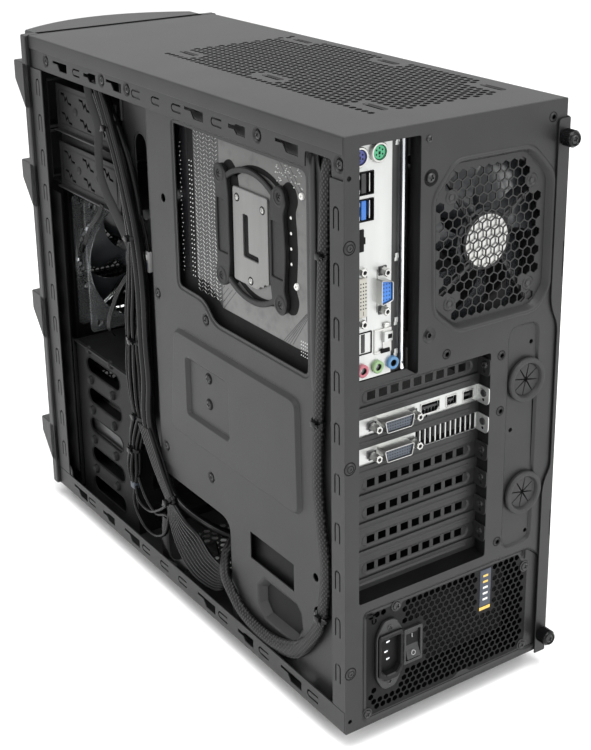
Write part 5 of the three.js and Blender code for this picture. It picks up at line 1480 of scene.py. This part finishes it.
def graphics_card():
    """The card's circuit board, and the shroud with its fan well and fins."""
    top = 218.58
    board = [block((-28, 65), (-228, -14), (top, top + 1.6), "board", 0.2)]
    board += [block((x - 4, x + 4), (-60 - 22 * k, -50 - 22 * k), (top + 1.6, top + 2.6), "plastic", 0.2)
              for k in range(6) for x in (0, 30)]
    piece("graphics_circuit", "chassis", board, ["graphics_board"])
    low = top - 30.3
    outline = rounded(rect(-28, 55, -228, -14), 5)
    well = ring(10, -130, 39, 56)
    parts = [sheet("XY", outline, [well], low, low + 16, "gloss", 1.2),
             sheet("XY", inset(outline, 1.5), [], low + 17, top - 0.3, "inner", 0.5)]
    for k in range(26):
        parts.append(block((-20 + 2.7 * k, -19.4 + 2.7 * k), (-80, -15), (low + 16, top - 2), "aluminium",
                           0.1, 1))
    parts += [sheet("XY", rounded(rect(-20, 46, -60, -24), 4), [rounded(rect(-12, 38, -54, -30), 3)],
                    low - 0.4, low + 0.4, "bezel", 0.2)]
    piece("graphics_shroud", "chassis", parts, ["graphics_cooler"])


# ---- moulded front ----

def nose(x, inset_by=0):
    """Where the face of the moulded front is at x: it bows out towards the middle."""
    return FRONT_BACK - FRONT_DEEP + inset_by + FRONT_BOW * (x / FRONT_HALF) ** 2


def bow(half, inset_by, back, steps=24):
    """An outline from above, with the bowed face in front and a straight back."""
    xs = [-half + 2 * half * i / steps for i in range(steps + 1)]
    return [(x, nose(x, inset_by)) for x in xs] + [(half, back), (-half, back)]


def moulded_front():
    """The front: solid bands, cheeks, curved slats over a mesh, a frame, and four stepped wings a side."""
    back = FRONT_BACK
    full = bow(FRONT_HALF, 0, back)
    parts = [sheet("XY", full, [], low, high, "bezel", 1.2) for low, high in ((0, 24), (267, 281.2))]
    parts += control_strip(368.2, HEIGHT)
    for u0, u1 in ((62, FRONT_HALF), (-FRONT_HALF, -62)):
        side = sorted((x, y) for x, y in full if u0 - 0.1 <= x <= u1 + 0.1 and y < back - 1)
        parts.append(sheet("XY", ccw(side + [(u1, back), (u0, back)]), [], 23.5, 267.5, "bezel", 0.4))
    for u0, u1 in ((73.3, FRONT_HALF), (-FRONT_HALF, -73.3)):
        cheek = [(u0, nose(u0)), (u1, nose(u1)), (u1, back), (u0, back)]
        parts.append(sheet("XY", ccw(cheek), [], 280.5, 368.9, "bezel", 0.4))
    for k in range(1, 9):
        z = 24 + 27 * k
        parts += [sheet("XY", bow(63, 1.5, back - 12), [], z - 9, z - 6.5, "bezel", 0.6),
                  sheet("XY", bow(63, 1.5, -455), [], z - 9, z, "bezel", 0.8)]
    mesh_holes = hexagons(rect(-60, 60, 6, 274), 5, 2.1)
    parts.append(sheet("XZ", rect(-64, 64, 2, 278), mesh_holes, back - 3, back - 2, "inner", 0.1))
    frame_hole = [rect(-72, 72, 4, 277), rect(-73.3, 73.3, 281.5, 367.9), rect(-70, 70, 370, 402)]
    parts.append(sheet("XZ", rounded(rect(-91, 91, 0, HEIGHT), 1.5), frame_hole, back - 8, back, "bezel",
                       0.8))
    for low, high in ((366, 382), (281, 297), (162, 179), (44, 58)):
        outline = [(back, low - 22), (back, high), (back - 25, high), (back - 25, low), (back - 8, low - 22)]
        for side in (-1, 1):
            parts.append(sheet("YZ", ccw(rounded(outline, 1.4)), [], *sorted((side * 78, side * 91)), "bezel",
                               0.8))
    piece("front_moulding", "chassis", parts, ["front_bezel"])


def control_strip(low, high):
    """The top of the front, with pockets for the buttons and sockets."""
    parts = [sheet("XY", bow(FRONT_HALF, 0, -455), [], low, 381.5, "bezel", 0.8),
             sheet("XY", bow(FRONT_HALF, 0, -436.1), [], 395.5, high, "paint", 0.8)]
    for u0, u1 in ((-FRONT_HALF, -53.6), (-20.4, -15.6), (15.6, 21.4), (32.6, FRONT_HALF)):
        face = [(x, nose(x)) for x in (u0 + (u1 - u0) * k / 6 for k in range(7))]
        parts.append(sheet("XY", ccw(face + [(u1, -455), (u0, -455)]), [], 381, 396, "bezel", 0.1))
    return parts


def front_controls():
    """The drive bay covers, the two keys and the front sockets."""
    for index, low in enumerate((281.5, 324.7), 1):
        high = low + 43.2
        parts = [sheet("XY", bow(73, 0.5, -456), [], low + 0.4, high - 0.4, "bezel", 1.0)]
        lines = [sheet("XY", bow(60, -0.25, -462), [], low + dz, low + dz + 1.2, "gloss", 0.3)
                 for dz in (14, 17.5, 21, 24.5, 28)]
        parts += [block((-73, 73), (-456, -438), (low + 0.5, low + 3), "plastic"),
                  block((-73, 73), (-456, -438), (high - 3, high - 0.5), "plastic")]
        piece(f"bay_cover_face_{index}", "chassis", parts + lines, [f"bay_cover_{index}"])
    for name, body, x, w, h in (("power", "power_key", 0, 30, 11), ("reset", "reset_key", 27, 10, 6)):
        face = nose(x)
        outline = rounded(rect(x - w / 2, x + w / 2, CONTROLS_Z - h / 2, CONTROLS_Z + h / 2), min(w, h) * 0.3)
        parts = [sheet("XZ", outline, [], face - 1.4, face + 9, "gloss", 0.8),
                 block((x - 2, x + 2), (face + 8, face + 20), (386.5, 390.5), "plastic", 0.5)]
        if name == "power":
            parts.append(turned((x, face - 1.45, CONTROLS_Z), (0, -1, 0),
                                [(2.6, -0.4), (2.6, 0.15), (3.2, 0.15), (3.2, -0.4)], "white"))
        else:
            parts.append(turned((x, face - 1.4, CONTROLS_Z), (0, -1, 0),
                                [(1.1, -0.4), (0.9, 0.12), (0.01, 0.15)], "dull", 20))
        piece(f"{name}_cap", body, parts, [f"{name}_button"])
    x, z, face = -37, CONTROLS_Z, -484.3
    openings = [rect(x + s - 6.5, x + s + 6.5, z - 2.5, z + 2.5) for s in (-8, 8)]
    parts = [sheet("XZ", rounded(rect(x - 16, x + 16, z - 4.5, z + 4.5), 1.2), openings, face - 1, face + 9,
                   "plastic", 0.5),
             block((x - 15, x + 15), (face + 9, face + 17), (z - 4, z + 4), "void", 0.3)]
    parts += [block((x + s - 6, x + s + 6), (face + 1, face + 9), (z + 0.2, z + 1.8), "blue", 0.2)
              for s in (-8, 8)]
    piece("front_sockets", "chassis", parts, ["front_port_block"])


# ---- wiring held inside ----

def bundle(stations, strands, radius, mat="wire", inner=0):
    """Parallel wires that share ties. A station is (x, y, z, half depth in X, half width across)."""
    centres = [Vector(s[:3]) for s in stations]
    parts = []
    for k in range(strands + inner):
        turn = 2 * math.pi * (k + 0.5) / max(1, strands if k < strands else inner)
        reach = 1.0 if k < strands else 0.45
        points = []
        for i, here in enumerate(centres):
            way = (centres[min(i + 1, len(centres) - 1)] - centres[max(i - 1, 0)]).normalized()
            across = way.cross(Vector((1, 0, 0))).normalized()
            wobble = random.uniform(-0.6, 0.6)
            points.append(here + Vector((1, 0, 0)) * stations[i][3] * reach * math.cos(turn + wobble * 0.2)
                          + across * (stations[i][4] * reach * math.sin(turn) + wobble))
        parts.append(tube(points, radius, mat))
    return parts


def tie(x, y, z, across, deep, way, lump=1):
    """A nylon tie: a flat strap round the bundle and its square head."""
    along = Vector((0, *way)).normalized()
    side = along.cross(Vector((1, 0, 0)))
    centre = Vector((x, y, z))
    verts, faces = [], []
    for shift, grow in ((-1.6, 0), (-1.3, 0.7), (1.3, 0.7), (1.6, 0)):
        for k in range(24):
            a = math.pi * 2 * k / 24
            verts.append(centre + along * shift + Vector((deep + grow, 0, 0)) * math.cos(a)
                         + side * (across + grow) * math.sin(a))
    for r in range(3):
        faces += [(r * 24 + k, r * 24 + (k + 1) % 24, r * 24 + 24 + (k + 1) % 24, r * 24 + 24 + k)
                  for k in range(24)]
    head = centre + Vector((deep + 0.6, 0, 0)) + side * across * 0.2 * lump
    parts = [from_faces("strap", verts, faces, "gloss", 50),
             block((head.x - 1.4, head.x + 2), (head.y - 2.6, head.y + 2.6), (head.z - 2.2, head.z + 2.2),
                   "gloss", 0.6)]
    tail = head + side * 5 * lump + Vector((1.2, 0, 0))
    parts.append(tube([head, (head + tail) / 2 + Vector((0.8, 0, 0)), tail], 1.1, "gloss", 8, 3, 0.4))
    return parts


def wiring():
    """The main trunk, the drive leads and ribbons, the sleeved lead and the loose leads."""
    trunk = [(79, -328, 376, 3, 5), (80, -309, 352, 3.4, 5), (79, -296, 330, 3.6, 6), (79, -286, 300, 4, 7),
             (79.5, -279, 272, 4.4, 6)]
    parts = bundle(trunk, 4, 2.7, "gloss")
    strands = [(79.5, -279, 272, 4.4, 6), (79.5, -280, 235, 5.6, 12), (79.5, -284, 205, 6, 14),
               (79.5, -286, 187, 5.6, 12.5), (79.5, -287, 160, 6, 16), (79.5, -285, 135, 6, 13),
               (79.5, -283, 122, 5, 10.5)]
    parts += bundle(strands, 13, 1.55, "wire", 6)
    lower = [(79.5, -287, 122, 4, 8), (79.5, -296, 102, 4.2, 6.5), (79.5, -299, 88, 3.8, 5.2),
             (79.5, -303, 70, 4.2, 7.2), (79.5, -303, 56, 2.6, 3.4)]
    parts += bundle(lower, 9, 1.5, "wire", 3)
    parts += tie(80, -309, 352, 6.8, 5.4, (1, -1.6)) + tie(79.5, -279, 272, 8.2, 6.6, (0.2, -1)) + tie(79.5,
                                                                                                       -286,
                                                                                                       187,
                                                                                                       14, 7,
                                                                                                       (0,
                                                                                                        -1),
                                                                                                       -1)
    parts += tie(79.5, -283, 122, 12, 6.6, (0, -1)) + tie(79.5, -299, 88, 6.8, 5.4, (-0.2, -1), -1)
    parts += [block((77, 83), (-306.5, -299.5), (50, 57), "slate", 1.2)]
    piece("main_wiring", "chassis", parts, ["main_cable_loom"])

    thick = [[(80 + dx, -329 + dy, 384), (81 + dx, -309 + dy, 352), (81 + dx, -298 + dy, 330),
              (81 + dx, -286 + dy, 300), (81 + dx, -277 + dy, 272), (81 + dx, -272 + dy, 235),
              (81 + dx, -272 + dy, 190), (81 + dx, -270 + dy, 160), (81 + dx, -272 + dy, 122),
              (81, -258 + dy, 96), (80, -240 + dy, 70), (70, -205 + dy, 58), (50, -172, 50)] for dx,
             dy in ((2.4, 0), (1.6, 6.2), (-2, 3))]
    parts = [tube(points, 2.9, "gloss", 12, 6) for points in thick]
    parts.append(tube([(81, -346, 382), (83, -338, 368), (84, -324, 349), (84, -326, 330), (84, -325, 312),
                       (84, -317, 299), (84, -306, 289), (84, -290, 274), (83, -281, 262), (82, -276, 240),
                       (81, -276, 200)], 7, "inner", 14, 7, 0.1))
    parts += [tube([(84.6, -272 + s, 119), (84.8, -262 + s, 105), (84.6, -249 + s * 0.9, 86),
                    (84, -235 + s * 0.8, 69)], 2.5, "wire", 10, 5, 0.7) for s in (-7, -3.4, 0, 3.4, 7)]
    parts += tie(84, -235, 69, 7.5, 3.4, (1, -1.1))
    for k in range(9):
        s = (k - 4) / 4
        parts.append(tube([(84, -236 + 5 * s, 70 - 2 * s), (84.6, -222 + 9 * s, 52 + 9 * s),
                           (84.4, -205 + 12 * s, 42 + 15 * s), (83.6, -186 + 11 * s, 33 + 14 * s),
                           (78, -168 + 6 * s, 30 + 11 * s), (62, -166 + 3 * s, 34 + 6 * s)], 1.75, "gloss",
                          10, 6))
    for points in ([(81, -300, 53), (82, -294, 43), (82, -276, 41), (83, -255, 52), (83.5, -240, 64)],
                   [(81, -301, 52), (82.5, -301, 40), (83, -289, 26), (83, -268, 23), (83, -249, 34),
                    (83.5, -238, 62)],
                   [(80, -296, 62), (81, -284, 50), (82, -264, 44), (82, -246, 50), (82, -232, 44)]):
        parts.append(tube(points, 1.3, "wire", 10, 6))
    parts.append(tube([(79, -254, 44), (80.5, -254, 24), (82, -249, 12), (83, -238, 9), (83, -222, 17),
                       (81, -206, 32), (70, -190, 44)], 6, "wire", 14, 7, 0.2))
    piece("drive_wiring", "chassis", parts, ["drive_cable_loom"])

    route = [(60, -176, 58), (76, -168, 50), (84, -156, 42), (84.6, -147, 34), (84.6, -134, 25),
             (84.6, -113, 20.5), (84.6, -88, 21.5), (84.6, -63, 30), (84.6, -46, 46), (84.5, -34, 65),
             (84.5, -28, 88), (84.5, -26.5, 116), (84.5, -31, 143), (84.5, -34, 171), (84.5, -33.5, 200),
             (84.5, -32, 229), (84.5, -29.5, 264), (84.5, -28, 297), (84.5, -26, 330), (84.5, -24, 360),
             (84.2, -23, 376), (82, -22.5, 387), (79, -22, 390), (76.5, -22, 390)]
    parts = [tube(route, 5.0, "braid", 16, 6, 0.62)]
    for shift in (-4.4, -1.5, 1.5, 4.4):
        low = [(x, y + (shift * 0.7 if 2 < i < 9 else shift * 0.3),
                z - shift * (0.8 if i < 8 else 0.1)) for i, (x, y, z) in enumerate(route[:12])]
        parts.append(tube(low, 1.9, "braid", 10, 6))
    parts += tie(84.5, -26.2, 327, 5.4, 3.2, (0, 1)) + tie(84.5, -32.8, 214, 5.4, 3.2, (0, 1)) + tie(84.6,
                                                                                                     -31, 74,
                                                                                                     6.6, 3.4,
                                                                                                     (0.3, 1))
    piece("sleeved_wiring", "chassis", parts, ["processor_power_cable"])

    parts = []
    for s in (-2, 0, 2):
        parts.append(tube([(80, -333 + s, 285), (79, -345 + s, 272), (78, -362 + s, 258), (76, -378 + s, 240),
                           (70, -396, 226)], 0.55, "gloss", 8))
        parts.append(tube([(82, -292 + s, 238), (83, -299 + s, 230), (83, -308 + s, 220), (83, -318 + s, 206),
                           (82, -329 + s, 190), (78, -338 + s, 178), (70, -345, 168)], 0.6, "gloss", 8))
    parts += [block((73, 77), (-275.5, -266), (246, 262), "print", 0.7),
              block((76.9, 77.4), (-274, -267.5), (249, 254), "slate", 0.2),
              block((76.9, 77.4), (-274, -267.5), (256, 260), "white", 0.2)]
    parts += [tube([(75, -271 + s, 262), (76, -272 + s, 274), (77, -276 + s, 290)], 0.9, "wire", 8, 4)
              for s in (-3, 0, 3)]
    piece("loose_leads", "chassis", parts, ())


camera()
studio()
rear_sheet()
connector_shield()
connectors()
video_sockets()
slot_covers()
graphics_connectors()
grommets()
fan_frame("rear_fan_frame_moulding", "rear_fan_frame", 1, 1)
rotor("rear_fan_blades", "rear_fan", "rear_fan_rotor", 1, 7)
fan_frame("front_fan_clear_frame", "front_fan_frame", 1, 1, "clear")
rotor("front_fan_blades", "front_fan", "front_fan_rotor", 1, 7)
fan_frame("cooler_fan_frame", "cpu_fan_frame", 0, -1)
rotor("cooler_fan_blades", "cpu_fan", "cpu_fan_rotor", 0, 7, sign=-1)
fan_frame("supply_fan_frame", "psu_fan_frame", 2, 1)
rotor("supply_fan_blades", "psu_fan", "psu_fan_rotor", 2, 9, sign=-1)
rotor("card_fan_blades", "graphics_fan", "graphics_fan_rotor", 2, 9, sign=-1)
power_supply()
side_cover()
feet()
top_sheet()
bottom_sheet()
front_sheet()
tray()
board_back()
backplates()
optical_cage()
drive_bays()
processor_cooler()
memory()
graphics_card()
moulded_front()
front_controls()
wiring()
